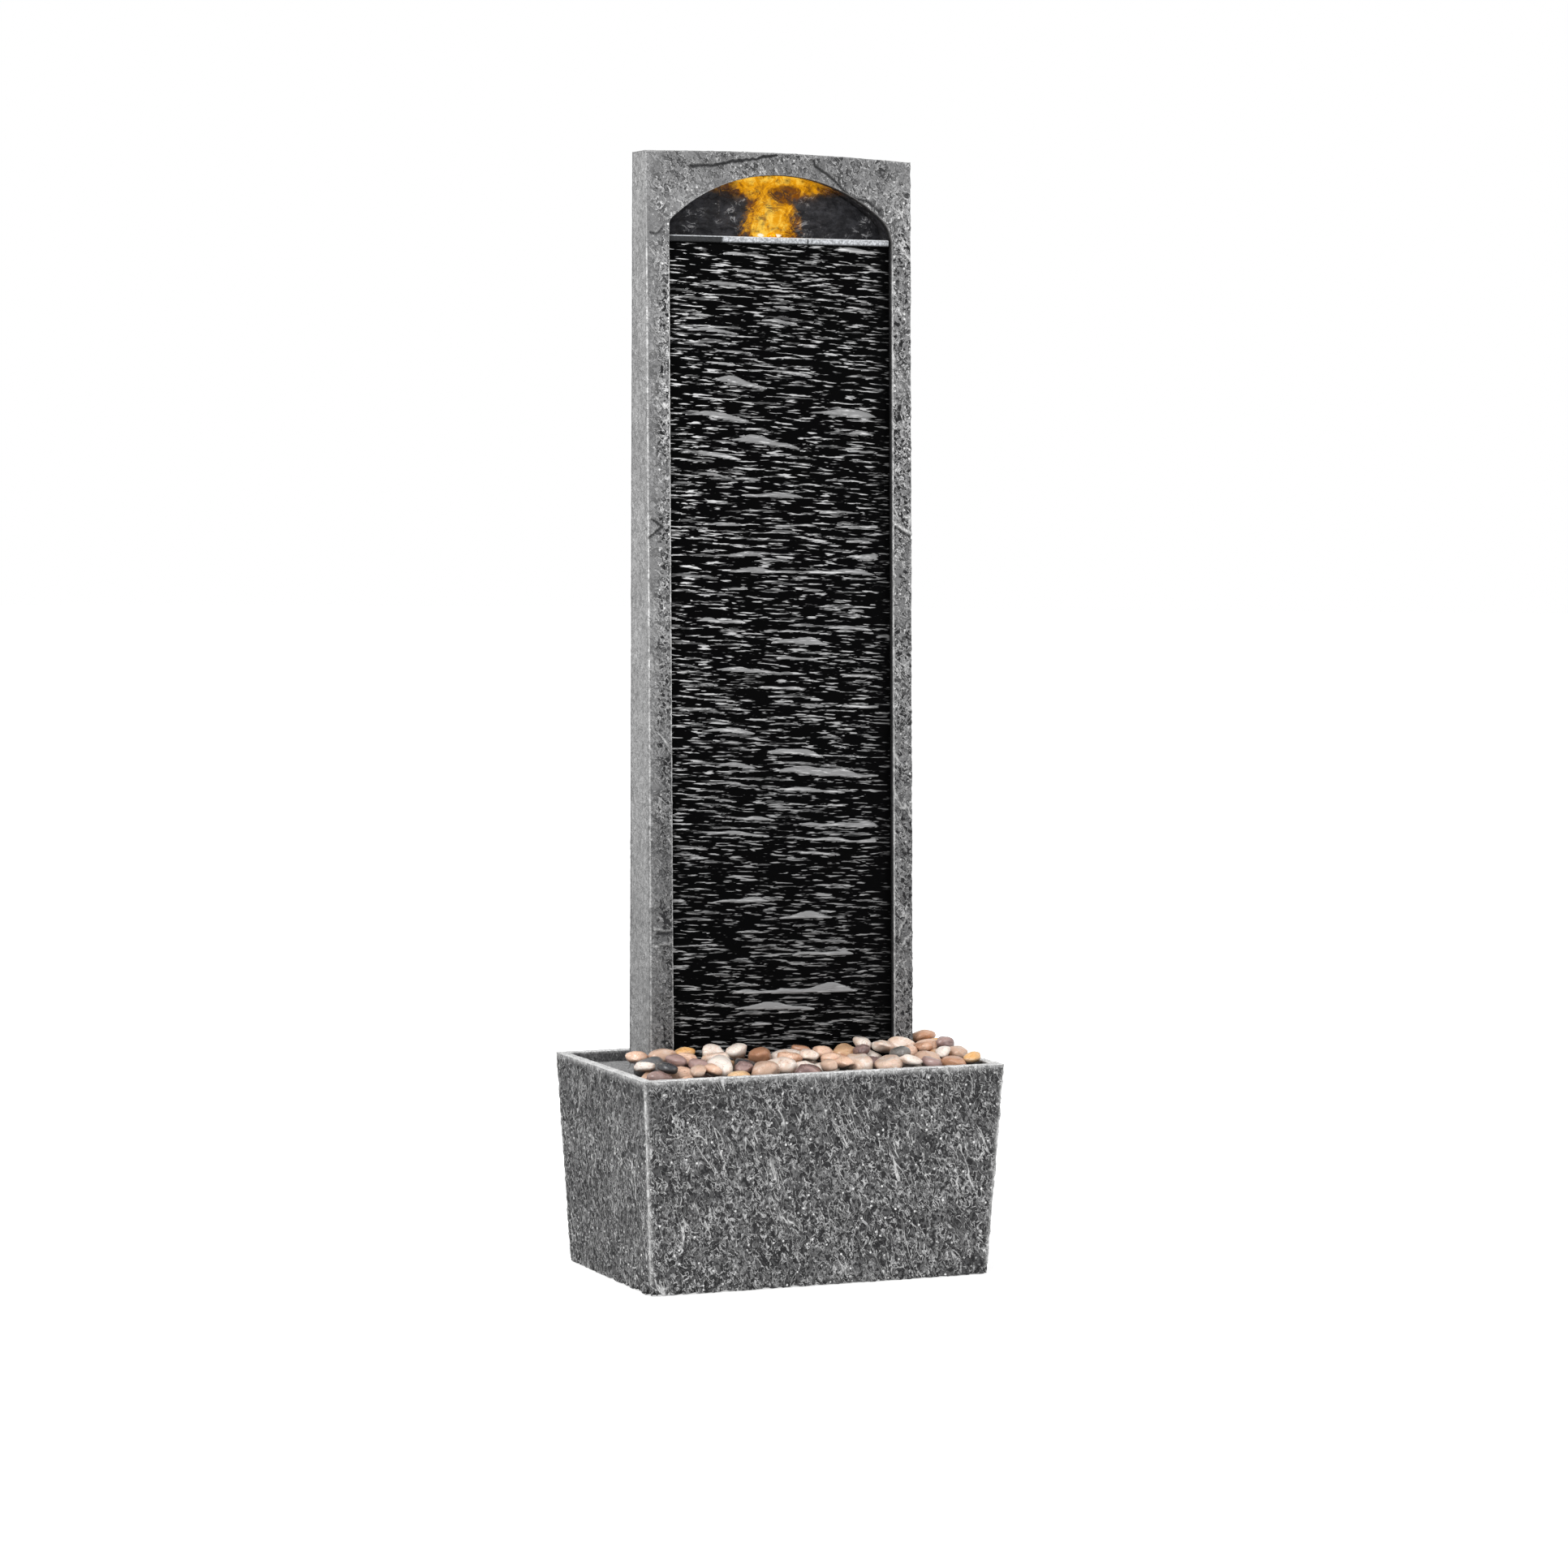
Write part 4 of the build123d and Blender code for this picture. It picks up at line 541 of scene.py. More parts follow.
class Tree:
    """A node tree under construction. Inputs are filled with values, numbers or colours."""

    def __init__(self, tree):
        self.tree = tree
        self.object_place = None

    def fill(self, socket, value):
        """Links a socket to a value, or sets it."""
        if isinstance(value, Value):
            self.tree.links.new(value.socket, socket)
        elif hasattr(socket.default_value, "__len__") and len(socket.default_value) == 4 and len(value) == 3:
            socket.default_value = (*value, 1.0)
        else:
            socket.default_value = value

    def add(self, kind, inputs=None, output=0, **settings):
        """One output of a new node with its settings made and its inputs filled, by name or by number."""
        node = self.tree.nodes.new("ShaderNode" + kind)
        for key, value in settings.items():
            setattr(node, key, value)
        for key, value in (inputs or {}).items():
            self.fill(node.inputs[key], value)
        return Value(self, node.outputs[output])

    def place(self):
        """Object coordinates."""
        if self.object_place is None:
            self.object_place = self.add("TexCoord", output="Object")
        return self.object_place

    def mapped(self, turn=(0.0, 0.0, 0.0), scale=(1.0, 1.0, 1.0)):
        """Object coordinates in axes that are turned and stretched."""
        inputs = {"Vector": self.place(), "Rotation": turn, "Scale": scale}
        return self.add("Mapping", inputs, vector_type="TEXTURE")

    def noise(self, scale, detail=3.0, roughness=0.55, vector=None, distortion=0.0):
        """Fractal noise of about 0.3 to 0.7, with scale in cells per metre."""
        inputs = {"Scale": scale, "Detail": detail, "Roughness": roughness, "Distortion": distortion}
        inputs["Vector"] = vector or self.place()
        return self.add("TexNoise", inputs)

    def math(self, operation, a, b=0.0):
        """One sum of two values."""
        return self.add("Math", {0: a, 1: b}, operation=operation)

    def most(self, value, *others):
        """The largest of several values."""
        for other in others:
            value = self.math("MAXIMUM", value, other)
        return value

    def step(self, value, low, high, start=0.0, end=1.0):
        """Smooth step of a value from low to high, onto start and end."""
        inputs = {0: value, 1: low, 2: high, 3: start, 4: end}
        return self.add("MapRange", inputs, interpolation_type="SMOOTHSTEP")

    def oval(self, across, over, middle_across, middle_over, wide, high):
        """Distance from an oval's middle, in its half widths and half heights."""
        across = (across - middle_across) / wide
        over = (over - middle_over) / high
        return self.math("SQRT", across * across + over * over)

    def crest(self, value, width):
        """1 where noise passes through its middle, falling to 0 at the width on either side."""
        return self.step(abs(value - 0.5), 0.0, width, 1.0, 0.0)

    def mix(self, share, a, b):
        """Colour a turned into b by a share."""
        return self.add("Mix", {0: share, 6: a, 7: b}, 2, data_type="RGBA")

    def attribute(self, name):
        """One of the mesh's own numbers."""
        return self.add("Attribute", output="Fac", attribute_name=name)

    def axis(self, index):
        """X, Y or Z of the object coordinates."""
        return self.add("SeparateXYZ", {0: self.place()}, index)

    def bump(self, height, distance, strength=1.0):
        """Normal from a height of 0 to 1 that stands for a distance in metres."""
        return self.add("Bump", {"Height": height, "Distance": distance, "Strength": strength})

    def group(self, build, **inputs):
        """Outputs of a shared node group, which its function builds the first time that it is asked for."""
        node = self.tree.nodes.new("ShaderNodeGroup")
        node.node_tree = bpy.data.node_groups.get(build.__name__) or build(build.__name__)
        for key, value in inputs.items():
            self.fill(node.inputs[key], value)
        return {socket.name: Value(self, socket) for socket in node.outputs}

    def put_out(self, **outputs):
        """Ends a node group with its outputs. Colour is a colour, and the others are numbers."""
        for label in outputs:
            kind = "NodeSocketColor" if label == "Colour" else "NodeSocketFloat"
            self.tree.interface.new_socket(label, in_out="OUTPUT", socket_type=kind)
        end = self.tree.nodes.new("NodeGroupOutput")
        for label, value in outputs.items():
            self.fill(end.inputs[label], value)
        return self.tree

    def shade(self, shader="Principled BSDF", **inputs):
        """Fills a shader's inputs. Underscores in names stand for spaces."""
        for key, value in inputs.items():
            self.fill(self.tree.nodes[shader].inputs[key.replace("_", " ")], value)


def new_group(name, **inputs):
    """The tree of a new node group, and its inputs by name, each of the kind given."""
    group = bpy.data.node_groups.new(name, "ShaderNodeTree")
    for label, kind in inputs.items():
        group.interface.new_socket(label, in_out="INPUT", socket_type="NodeSocket" + kind)
    t = Tree(group)
    start = group.nodes.new("NodeGroupInput")
    return t, {label: Value(t, start.outputs[label]) for label in inputs}


def new_material(name):
    """A material and its tree."""
    material = bpy.data.materials.new(name)
    material.use_nodes = True
    return material, Tree(material.node_tree)


def toned(colour, share):
    """A colour made lighter or darker."""
    return tuple(share * c for c in colour)


def rough_cast(name):
    """Rough cast stone: winding ridges with a painted shadow along one side, long gouges, pits, beads and
    grain.

    Ridges lie where noise passes through its middle, and their painted shadow where it is a little above.
    Gouges do the same in noise that is drawn out along the slant. Height is about 0 to 1, and the others are
    shares.
    """
    t, start = new_group(name, Vector="Vector", Cells="Float", Relief="Float")
    cells = start["Cells"]
    vector = start["Vector"]
    field = t.noise(cells, 3.0, 0.6, vector, 0.6)
    patch = t.step(t.noise(cells * 0.28, 3.0, 0.6, vector), 0.36, 0.52, 0.45, 1.0)
    ridges = t.crest(field, 0.044) * patch
    # Painted shadow along one side of each ridge.
    shadow_side = t.crest(field - 0.070, 0.050) * patch
    drawn = t.add("VectorMath", {0: vector, 1: (1.0, 1.0, 0.30)}, operation="MULTIPLY")
    sparse = t.step(t.noise(26.0, 2.0, 0.5), 0.46, 0.56)
    gouges = t.crest(t.noise(cells * 0.42, 2.0, 0.5, drawn, 0.7), 0.014) * sparse
    grain = t.noise(cells * 3.6, 2.0, 0.6, vector)
    dots = {"Vector": t.place(), "Scale": cells * 1.25}
    chosen = t.step(t.add("SeparateColor", {0: t.add("TexVoronoi", dots, "Color")}), 0.86, 0.88)
    beads = t.step(t.add("TexVoronoi", dots, "Distance"), 0.30, 0.16) * chosen
    height = grain * 0.35 + start["Relief"] * 0.25 + t.most(ridges, beads) * 0.5 + gouges * 0.4
    return t.put_out(
        Height=height - shadow_side * 0.3,
        Ridges=ridges,
        Gouges=gouges,
        Feet=shadow_side,
        Pits=t.step(grain, 0.44, 0.34) * patch,
        Specks=t.step(t.noise(cells * 1.45, 2.0, 0.5), 0.49, 0.43),
        Beads=beads,
        Grain=t.step(grain, 0.36, 0.64),
    )


def moulded(name):
    """Moulded or turned stuff: two close tones in slow clouds, a roughness that varies and a fine grain."""
    t, start = new_group(name, Tone="Color", Shade="Color", Cells="Float", Gloss="Float")
    clouds = t.noise(start["Cells"], 4.0, 0.6)
    grain = t.noise(start["Cells"] * 14.0, 2.0)
    blend = t.step(clouds * 0.7 + grain * 0.3, 0.36, 0.64)
    return t.put_out(
        Colour=t.mix(blend, start["Tone"], start["Shade"]),
        Roughness=start["Gloss"] + clouds * 0.22,
        Height=grain,
    )


def lamp_fan(name):
    """Fan of light on the niche: a column over the lens that spreads under the arch, ragged at its edges.

    Glow is how much light there is, with a soft halo under the arch, and Heat how near it is to the lamp. Shade
    is a brown patch at the fan's upper right. Spots are two flat hot spots over the lip, beside the lens.
    """
    t, _ = new_group(name)
    side = t.axis(0)
    up = t.axis(2) - LIP_HIGH.z
    ragged = t.noise(85.0, 5.0, 0.7, t.mapped(scale=(1.3, 1.0, 1.0)), 0.6) - 0.5
    half = t.step(up, 0.012, 0.026, 1.08, 0.92) * FAN_FOOT + t.step(up, 0.031, 0.047) * FAN_SPREAD
    across = abs(side - up * 0.1) / half + ragged * 1.7
    halo = t.step(across, 2.0, 0.8) * t.step(up, 0.028, 0.046, 0.0, 0.45)
    brown = t.oval(side, up, *BROWN_OVAL) + ragged * 1.6
    spots = t.oval(abs(side), up, *SPOT_OVAL) + ragged
    return t.put_out(
        Glow=t.most(t.step(across, 1.15, 0.65), halo),
        Heat=t.step(across, 1.0, 0.2) * t.step(up, 0.055, 0.004, 0.3, 1.0),
        Shade=t.step(brown, 1.3, 0.6),
        Spots=t.step(spots, 1.2, 0.5),
    )


def stone_material(name, body, crest, colours, slant, stretch):
    """Rough cast stone, dry-brushed: painted shadow beside its ridges, pale on them, bare on worn edges and on
    painted highlights beside cracks, dark in cracks, and darker in bands and in painted shade.
    """
    material, t = new_material(name)
    rough = t.attribute("rough")
    damp = t.attribute("damp")
    drawn = t.mapped((0.0, slant, 0.0), (1.0, 1.0, stretch))
    cast = t.group(rough_cast, Vector=drawn, Cells=STONE_CELLS, Relief=t.attribute("relief"))
    grain = cast["Grain"]
    mottle = t.step(t.noise(30.0, 4.0, 0.6), 0.36, 0.64)
    colour = t.mix(grain * t.step(mottle, 0.0, 1.0, 0.03, 0.28), body, crest)
    # Painted shadow beside the ridges, with pits and dark specks.
    dark = t.most(cast["Feet"] * 0.9, cast["Pits"] * 0.75, cast["Specks"] * t.attribute("pitted"))
    bright = t.most(cast["Gouges"] * 0.65, cast["Beads"] * 0.8)
    worn_and_highlit = t.attribute("wear") * t.step(grain, 0.0, 0.6, 0.6, 1.0)
    for share, layer in (
        (dark * rough, colours.stone_pit),
        (cast["Ridges"] * (rough * 0.95), crest),
        (bright * rough, colours.stone_bare),
        # Worn edges, and the painted highlights beside cracks.
        (worn_and_highlit, colours.stone_bare),
        # Cracks, and the painted shade under the tower's ledge.
        (t.attribute("crack"), colours.stone_pit),
        # Darker bands, and the painted shade of the opening's reveal.
        (damp, colours.stone_pit),
    ):
        colour = t.mix(share, colour, layer)
    t.shade(
        Base_Color=colour,
        Roughness=t.step(damp, 0.0, 0.7, 0.85, 0.5),
        Normal=t.bump(cast["Height"], 0.0014, 0.9),
        Specular_IOR_Level=0.2,
    )
    return material


def slate_material(colours):
    """Wet split slate: black hollows, flakes and ragged chips in a painted grey sheen, and thin dashes and
    lower edges in painted highlight.
    """
    material, t = new_material("wet_slate_finish")
    fringe = t.noise(620.0, 3.0, 0.6, t.mapped(FLAKE_TILT, (7.0, 1.0, 1.0)))
    streak = t.noise(560.0, 2.0, 0.55, t.mapped(FLAKE_TILT, (10.0, 1.0, 1.0)), 0.25)
    spread = fringe - 0.5
    # The flakes' and chips' greys are a painted sheen of wet slate.
    flake = t.step(t.attribute("flake") + spread * 0.7, 0.24, 0.42)
    chip = t.step(t.attribute("chip") + spread * 2.2, 0.40, 0.62)
    # Painted highlights: thin dashes and the flakes' pale lower edges.
    dashes = t.step(streak, 0.585, 0.64) * t.attribute("dash")
    pale = t.attribute("edge") * t.step(streak, 0.44, 0.56)
    dull = toned(colours.slate_flake, 0.3)
    grey = toned(colours.slate_flake, 0.72)
    colour = t.mix(chip, colours.slate_wet, t.mix(t.step(streak, 0.42, 0.58), dull, grey))
    colour = t.mix(flake, colour, t.mix(t.step(fringe, 0.30, 0.46), grey, colours.slate_flake))
    colour = t.mix(dashes * 0.8, colour, colours.slate_edge)
    t.shade(
        Base_Color=t.mix(pale, colour, colours.slate_edge),
        Roughness=t.step(fringe, 0.3, 0.7, 0.3, 0.55),
        Coat_Weight=flake * 0.2,
        Coat_Roughness=0.25,
        Normal=t.bump(fringe + dashes, 0.0007, 0.7),
        Specular_IOR_Level=0.01,
    )
    return material


def niche_material(name, colours, relief):
    """Split charcoal stone with pale edges, and the lamp's fan of light in bright threads and dark gaps."""
    material, t = new_material(name)
    grain = t.noise(190.0, 5.0, 0.68, t.mapped(scale=(1.8, 1.0, 1.0)))
    threads = t.crest(t.noise(75.0, 4.0, 0.62, t.mapped(scale=(1.6, 1.0, 1.0)), 1.6), 0.035)
    swirl = t.step(t.noise(48.0, 5.0, 0.66, t.mapped(scale=(1.0, 1.0, 1.5)), 2.2), 0.38, 0.64)
    stand = t.attribute("relief") if relief else grain
    colour = t.mix(t.step(grain, 0.40, 0.64), colours.niche_dark, toned(colours.niche_dark, 2.4))
    rims = threads * t.step(t.noise(38.0, 2.0), 0.50, 0.62)
    colour = t.mix(rims * t.step(grain, 0.40, 0.56), colour, colours.niche_pale)
    fan = t.group(lamp_fan)
    heat = (fan["Heat"] * 0.75 + swirl * 0.6 + threads * 0.35) * t.step(fan["Shade"], 0.0, 1.0, 1.0, 0.35)
    heat = heat + t.step(t.axis(2), LINER_HIGH.z - 0.014, LINER_HIGH.z - 0.006, 0.0, 0.35)
    light = t.mix(t.step(heat, 0.1, 0.75), colours.glow_rim, colours.glow_mid)
    light = t.mix(t.step(heat, 0.7, 1.25), light, colours.glow_core)
    broken = t.step((grain - 0.5) * 2.4 + stand * 0.9, 0.0, 0.6, 0.28, 1.0)
    lit = fan["Glow"] * t.most(broken, threads)
    t.shade(
        Base_Color=t.mix(lit, colour, BLACK),
        Emission_Color=t.mix(fan["Spots"], t.mix(lit, BLACK, light), colours.lamp_spot),
        Emission_Strength=1.0,
        Roughness=t.step(grain, 0.3, 0.7, 0.5, 0.7),
        Normal=t.bump(grain + threads * 0.3, 0.0014, 0.8),
        Specular_IOR_Level=0.08,
    )
    return material


def lip_material(colours):
    """Pale speckled cast of the trough, with a painted highlight along the lip's top and painted shade below
    it, darker towards its left end, at a seam and where water stains it.
    """
    material, t = new_material("lip_finish")
    speck = t.noise(620.0, 3.0, 0.65)
    stain = t.noise(34.0, 3.0, 0.6, t.mapped(scale=(1.0, 1.0, 3.0)))
    side = t.axis(0)
    height = t.axis(2)
    left = t.step(side, *LIP_DARK_LEFT, 0.0, 0.96)
    seam = t.step(abs(side - LIP_SEAM), 0.0004, 0.0012, 0.8, 0.0)
    # Painted shade below the lip's top, and a painted highlight along the top.
    under = t.step(height, LIP_HIGH.z - 0.0036, LIP_HIGH.z - 0.0066)
    top = t.step(height, LIP_HIGH.z - 0.0012, LIP_HIGH.z - 0.0004)
    dark = t.most(left, under, t.step(stain, 0.54, 0.68, 0.0, 0.6), seam)
    colour = t.mix(t.step(speck, 0.4, 0.66), colours.lip_body, colours.lip_pale)
    colour = t.mix(dark, colour, toned(colours.lip_body, 0.06))
    t.shade(
        Base_Color=t.mix(top * t.step(speck, 0.3, 0.55, 0.4, 1.0), colour, colours.lip_pale),
        Roughness=t.step(speck, 0.3, 0.7, 0.4, 0.65),
        Normal=t.bump(speck, 0.0004, 0.6),
        Specular_IOR_Level=0.08,
    )
    return material


def lens_material(colours):
    """Amber lens, lit evenly, with faint ripples in its dome."""
    material, t = new_material("amber_lens_finish")
    ripple = t.noise(900.0, 2.0)
    t.shade(
        Base_Color=t.mix(t.step(ripple, 0.35, 0.65), colours.glow_rim, colours.glow_mid),
        Emission_Color=t.mix(t.step(ripple, 0.3, 0.7), colours.glow_rim, colours.glow_mid),
        Emission_Strength=0.8,
        Roughness=t.step(ripple, 0.3, 0.7, 0.08, 0.22),
        Specular_IOR_Level=0.2,
    )
    return material


def pebble_material(name, light, deep, vein):
    """Polished pebbles: two tones in clouds that differ from stone to stone, thin veins and painted shade on
    their lower parts.
    """
    material, t = new_material(name)
    tone = t.attribute("tone")
    cloud = t.noise(70.0, 4.0, 0.6, t.mapped(scale=(1.0, 1.0, 0.6)), 0.8)
    lines = t.crest(t.noise(55.0, 3.0, 0.6, t.mapped(scale=(1.0, 1.0, 0.5)), 1.6), 0.02)
    pores = t.noise(900.0, 2.0)
    colour = t.mix(t.step(cloud + (tone - 0.5) * 0.45, 0.34, 0.68), light, deep)
    for share in (lines * 0.55, t.step(pores, 0.6, 0.75, 0.0, 0.4), t.step(tone, 0.70, 1.0, 0.0, 0.45)):
        colour = t.mix(share, colour, vein)
    t.shade(
        # Painted shade on each pebble's lower part.
        Base_Color=t.mix(t.attribute("under"), colour, toned(vein, 0.12)),
        Roughness=t.step(cloud, 0.3, 0.7, 0.22, 0.4),
        Normal=t.bump(pores, 0.0002, 0.5),
        Subsurface_Weight=0.06,
        Subsurface_Scale=0.003,
    )
    return material


def moulded_material(name, tone, shade, cells, gloss, grain, constants):
    """A moulded, turned or pressed finish from two close tones, with other shader values as constants."""
    material, t = new_material(name + "_finish")
    stuff = t.group(moulded, Tone=tone, Shade=shade, Cells=cells, Gloss=gloss)
    normal = t.bump(stuff["Height"], grain, 0.6)
    t.shade(Base_Color=stuff["Colour"], Roughness=stuff["Roughness"], Normal=normal, **constants)
    return material


def panel_material():
    """Grey moulded sheet of the tower's back: a leathery grain with rubbed tones and faint runs of water."""
    material, t = new_material("back_panel_finish")
    grain = t.noise(420.0, 3.0, 0.6)
    clouds = t.noise(9.0, 5.0, 0.62)
    runs = t.noise(60.0, 3.0, 0.6, t.mapped(scale=(1.0, 1.0, 14.0)))
    colour = t.mix(t.step(clouds, 0.36, 0.64), (0.075, 0.076, 0.079), (0.12, 0.121, 0.124))
    colour = t.mix(t.step(grain, 0.5, 0.7, 0.0, 0.5), colour, (0.2, 0.2, 0.205))
    t.shade(
        Base_Color=t.mix(t.step(runs, 0.54, 0.7, 0.0, 0.45), colour, (0.045, 0.045, 0.048)),
        Roughness=t.step(grain, 0.3, 0.7, 0.55, 0.78),
        Normal=t.bump(grain, 0.0006, 0.7),
        Specular_IOR_Level=0.3,
    )
    return material


# Basin


def strip(out, z, radius, rough=0.0, share=1.0):
    """Rows of the basin's section: reach past the rim, height, corner radius, roughness and loop share."""
    return np.stack(np.broadcast_arrays(np.atleast_1d(out), z, radius, rough, share), -1)


def basin_section(sizes):
    """The basin's section from the middle of its underside, up the outside, over the rim and to the floor."""
    top = BASIN_HIGH.z
    lean = tan(sizes.basin_draft)
    edge = sizes.basin_edge
    wall = sizes.basin_wall
    corner = sizes.basin_corner
    inside = corner / 3
    seat = DECK_LOW.z - sizes.shelf_gap
    under = seat - sizes.shelf_height
    foot = -top * lean

    def inner(z):
        return -wall - (top - z) * lean

    outer_z = np.linspace(edge, top - edge, WALL_ROWS)
    inner_z = np.linspace(top - edge, seat, 10)
    below_z = np.linspace(under, sizes.basin_floor, 8)
    return np.concatenate([
        strip(foot - edge, 0.0, corner, share=np.array([0.0, 0.5, 0.9])),
        strip(*arc((foot - edge, edge), edge, -90), corner, 0.6)[:-1],
        strip((outer_z - top) * lean, outer_z, corner, 1.0),
        strip(*arc((-edge, top - edge), edge, 0), corner, 0.5)[1:],
        strip(np.linspace(-edge, edge - wall, 6), top, corner, 0.2)[1:-1],
        strip(*arc((edge - wall, top - edge), edge, 90), inside, 0.3)[:-1],
        strip(inner(inner_z), inner_z, inside, 0.15),
        strip(inner(seat) - sizes.shelf_reach, seat, inside),
        strip(inner(under) - sizes.shelf_reach, under, inside),
        strip(inner(below_z), below_z, inside, 0.05),
        strip(inner(sizes.basin_floor), sizes.basin_floor, inside, share=np.array([0.9, 0.5, 0.0])),
    ])


def cast_relief(points, slant, cell, stretch, seed):
    """Height of rough cast from 0 to 1: slanted broken ridges, lumps and grain.

    The ridges lie where noise that is drawn out along the slant passes through zero. Slower noise breaks them.
    """
    along = slanted(points, slant)
    warp = noise(points, 0.02, seed + 7)[..., None] * 0.004
    drawn = np.array([cell, cell, cell * stretch])
    worms = ridge(noise(along + warp, drawn, seed), 0.2)
    worms = worms * smooth(noise(along, drawn * 3, seed + 1), -0.15, 0.25)
    curls = ridge(noise(points + warp, cell * 1.9, seed + 2), 0.1)
    curls = curls * smooth(noise(points, 0.03, seed + 3), 0.0, 0.3)
    strokes = ridge(noise(along + 2 * warp, (0.011, 0.011, 0.045), seed + 5), 0.07)
    strokes = strokes * smooth(noise(points, 0.045, seed + 8), 0.0, 0.25)
    lumps = fractal(points, cell * 1.3, 2, seed + 4)
    slow = noise(points, 0.06, seed + 6)
    ridges = np.maximum(np.maximum(worms, 0.8 * curls), 1.2 * strokes)
    return np.clip(0.32 + 0.48 * ridges + 0.36 * lumps + 0.14 * slow, 0, 1)


def basin_skin(sizes, material):
    """The basin's skin: section rows carried round a rounded rectangle, with relief sunk along the normals."""
    places, directions = rounded_loop(BASIN_SIDES)
    out, z, radius, rough, share = basin_section(sizes).T[:, :, None]
    rim = np.array([BASIN_HIGH.x, BASIN_HIGH.y])
    wall = sizes.basin_wall
    reach = rim + out[..., None]
    bend = (radius * share)[..., None]
    flat = places * (reach * share[..., None] - bend) + directions * bend
    shape = flat.shape[:2]
    grid = add_heights(flat, z)
    rough = np.broadcast_to(rough, shape)
    relief = cast_relief(grid, radians(24), 0.0052, 3.0, 11)
    chips = smooth(fractal(grid, 0.014, 3, 31), 0.02, 0.4) * smooth(grid[..., 2], 0.011, 0.0)
    depth = rough * (sizes.basin_relief * (1 - relief) + CHIP_DEPTH * chips)
    grid = grid - grid_normals(grid, wrap_columns=True) * depth[..., None]
    corner_left = np.hypot(flat[..., 0] + rim[0], 0.6 * (flat[..., 1] + rim[1]))
    worn_foot = FOOT_WEAR * smooth(fractal(grid * np.array([1.0, 1.0, 0.0]), 0.008, 3, 35), -0.1, 0.5)
    worn_foot = worn_foot * smooth(corner_left, 0.085, 0.02) * (out > -wall - 0.02)
    grid[..., 2] = np.maximum(grid[..., 2], worn_foot * (rough > 0))
    corner = np.linalg.norm(np.abs(flat) - reach, axis=-1)
    over = z - BASIN_HIGH.z
    broken = 0.55 + 0.45 * smooth(fractal(grid, 0.008, 3, 41), -0.35, 0.3)
    wear = np.maximum(bell(np.hypot(out, over), 0.0034), 0.75 * bell(np.hypot(out + wall, over), 0.0018))
    wear = np.maximum(wear, 0.85 * bell(corner, 0.0030) * (out > -wall) * (share == 1)) * broken
    wear = np.maximum(wear, (0.85 + 0.15 * broken) * (z > BASIN_HIGH.z - sizes.basin_edge))
    cloud = 0.02 * fractal(grid, 0.05, 2, 45)
    # A darker band just under the rim.
    damp = 0.22 * smooth(z + cloud, BASIN_HIGH.z - 0.06, BASIN_HIGH.z - 0.01) * (1 - wear)
    still = np.zeros(shape)
    faces = grid_faces(*shape, wrap_columns=True).tolist()
    piece = make_piece("basin_skin", grid, faces, "basin", "basin_stone", material, rough=rough,
                       relief=relief, wear=wear, crack=still, damp=damp, pitted=still + 0.85)
    cut_outlet(piece)
    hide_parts("basin")


def cut_outlet(piece):
    """The grommet's hole through the back wall: a cylinder along Y between the grommet's flanges."""
    turn = np.linspace(0, 2 * pi, OUTLET_STEPS, endpoint=False)
    radius = (GROMMET_HIGH.x - GROMMET_LOW.x) / 2 - OUTLET_PLAY
    middle = (GROMMET_LOW.z + GROMMET_HIGH.z) / 2
    ring = np.stack([radius * np.cos(turn), np.zeros(turn.size), middle + radius * np.sin(turn)], -1)
    ends = np.array([(0.0, GROMMET_LOW.y - CUT_PAST[0], 0.0), (0.0, GROMMET_HIGH.y + CUT_PAST[0], 0.0)])
    cut_prisms(piece, "outlet_cutter", ring[None], ends)


# Tower


def face_y(sizes, z, depth=0.0):
    """Y of the leaning front face at height z, or of a plane that lies a depth behind it."""
    return sizes.tower_foot + (z - deck_top(sizes)) * tan(sizes.tower_lean) + depth / cos(sizes.tower_lean)


def deck_top(sizes):
    """Height of the deck's upper face."""
    return DECK_LOW.z + sizes.deck_thick


def opening_sides(sizes):
    """The opening's left and right sides: sign, reach, blend radius, and X and Z of the blend's centre.

    The blend's circle touches the upright side and the arch. Its centre is measured from the arch's.
    """
    sides = (-1, sizes.opening_left, sizes.blend_left), (1, sizes.opening_right, sizes.blend_right)
    for side, half, blend in sides:
        yield side, half, blend, half - blend, sqrt((sizes.arch_radius - blend) ** 2 - (half - blend) ** 2)


def opening_reach(sizes, x, z):
    """Distance from the arch's centre to the opening's edge along unit directions of x and z.

    The nearer of the upright side and the arch, or the blend's circle between its two tangent points.
    """
    half = np.where(x < 0, sizes.opening_left, sizes.opening_right)
    reach = np.minimum(half / np.maximum(np.abs(x), TINY), sizes.arch_radius)
    for side, half, blend, centre_x, centre_z in opening_sides(sizes):
        along = side * x * centre_x + z * centre_z
        far = along + np.sqrt(np.maximum(along**2 - centre_x**2 - centre_z**2 + blend**2, 0))
        rise = z / np.maximum(side * x, TINY)
        within = (side * x > 0) & (rise > centre_z / half) & (rise < centre_z / centre_x)
        reach = np.where(within, far, reach)
    return reach


def near_line(x, z, points):
    """Distance in the front face from each place to a line through points."""
    ends = np.array(points)
    best = np.full(x.shape, np.inf)
    for (ax, az), (bx, bz) in zip(ends[:-1], ends[1:]):
        length = hypot(bx - ax, bz - az)
        share = np.clip(((x - ax) * (bx - ax) + (z - az) * (bz - az)) / length**2, 0, 1)
        best = np.minimum(best, np.hypot(x - ax - share * (bx - ax), z - az - share * (bz - az)))
    return best


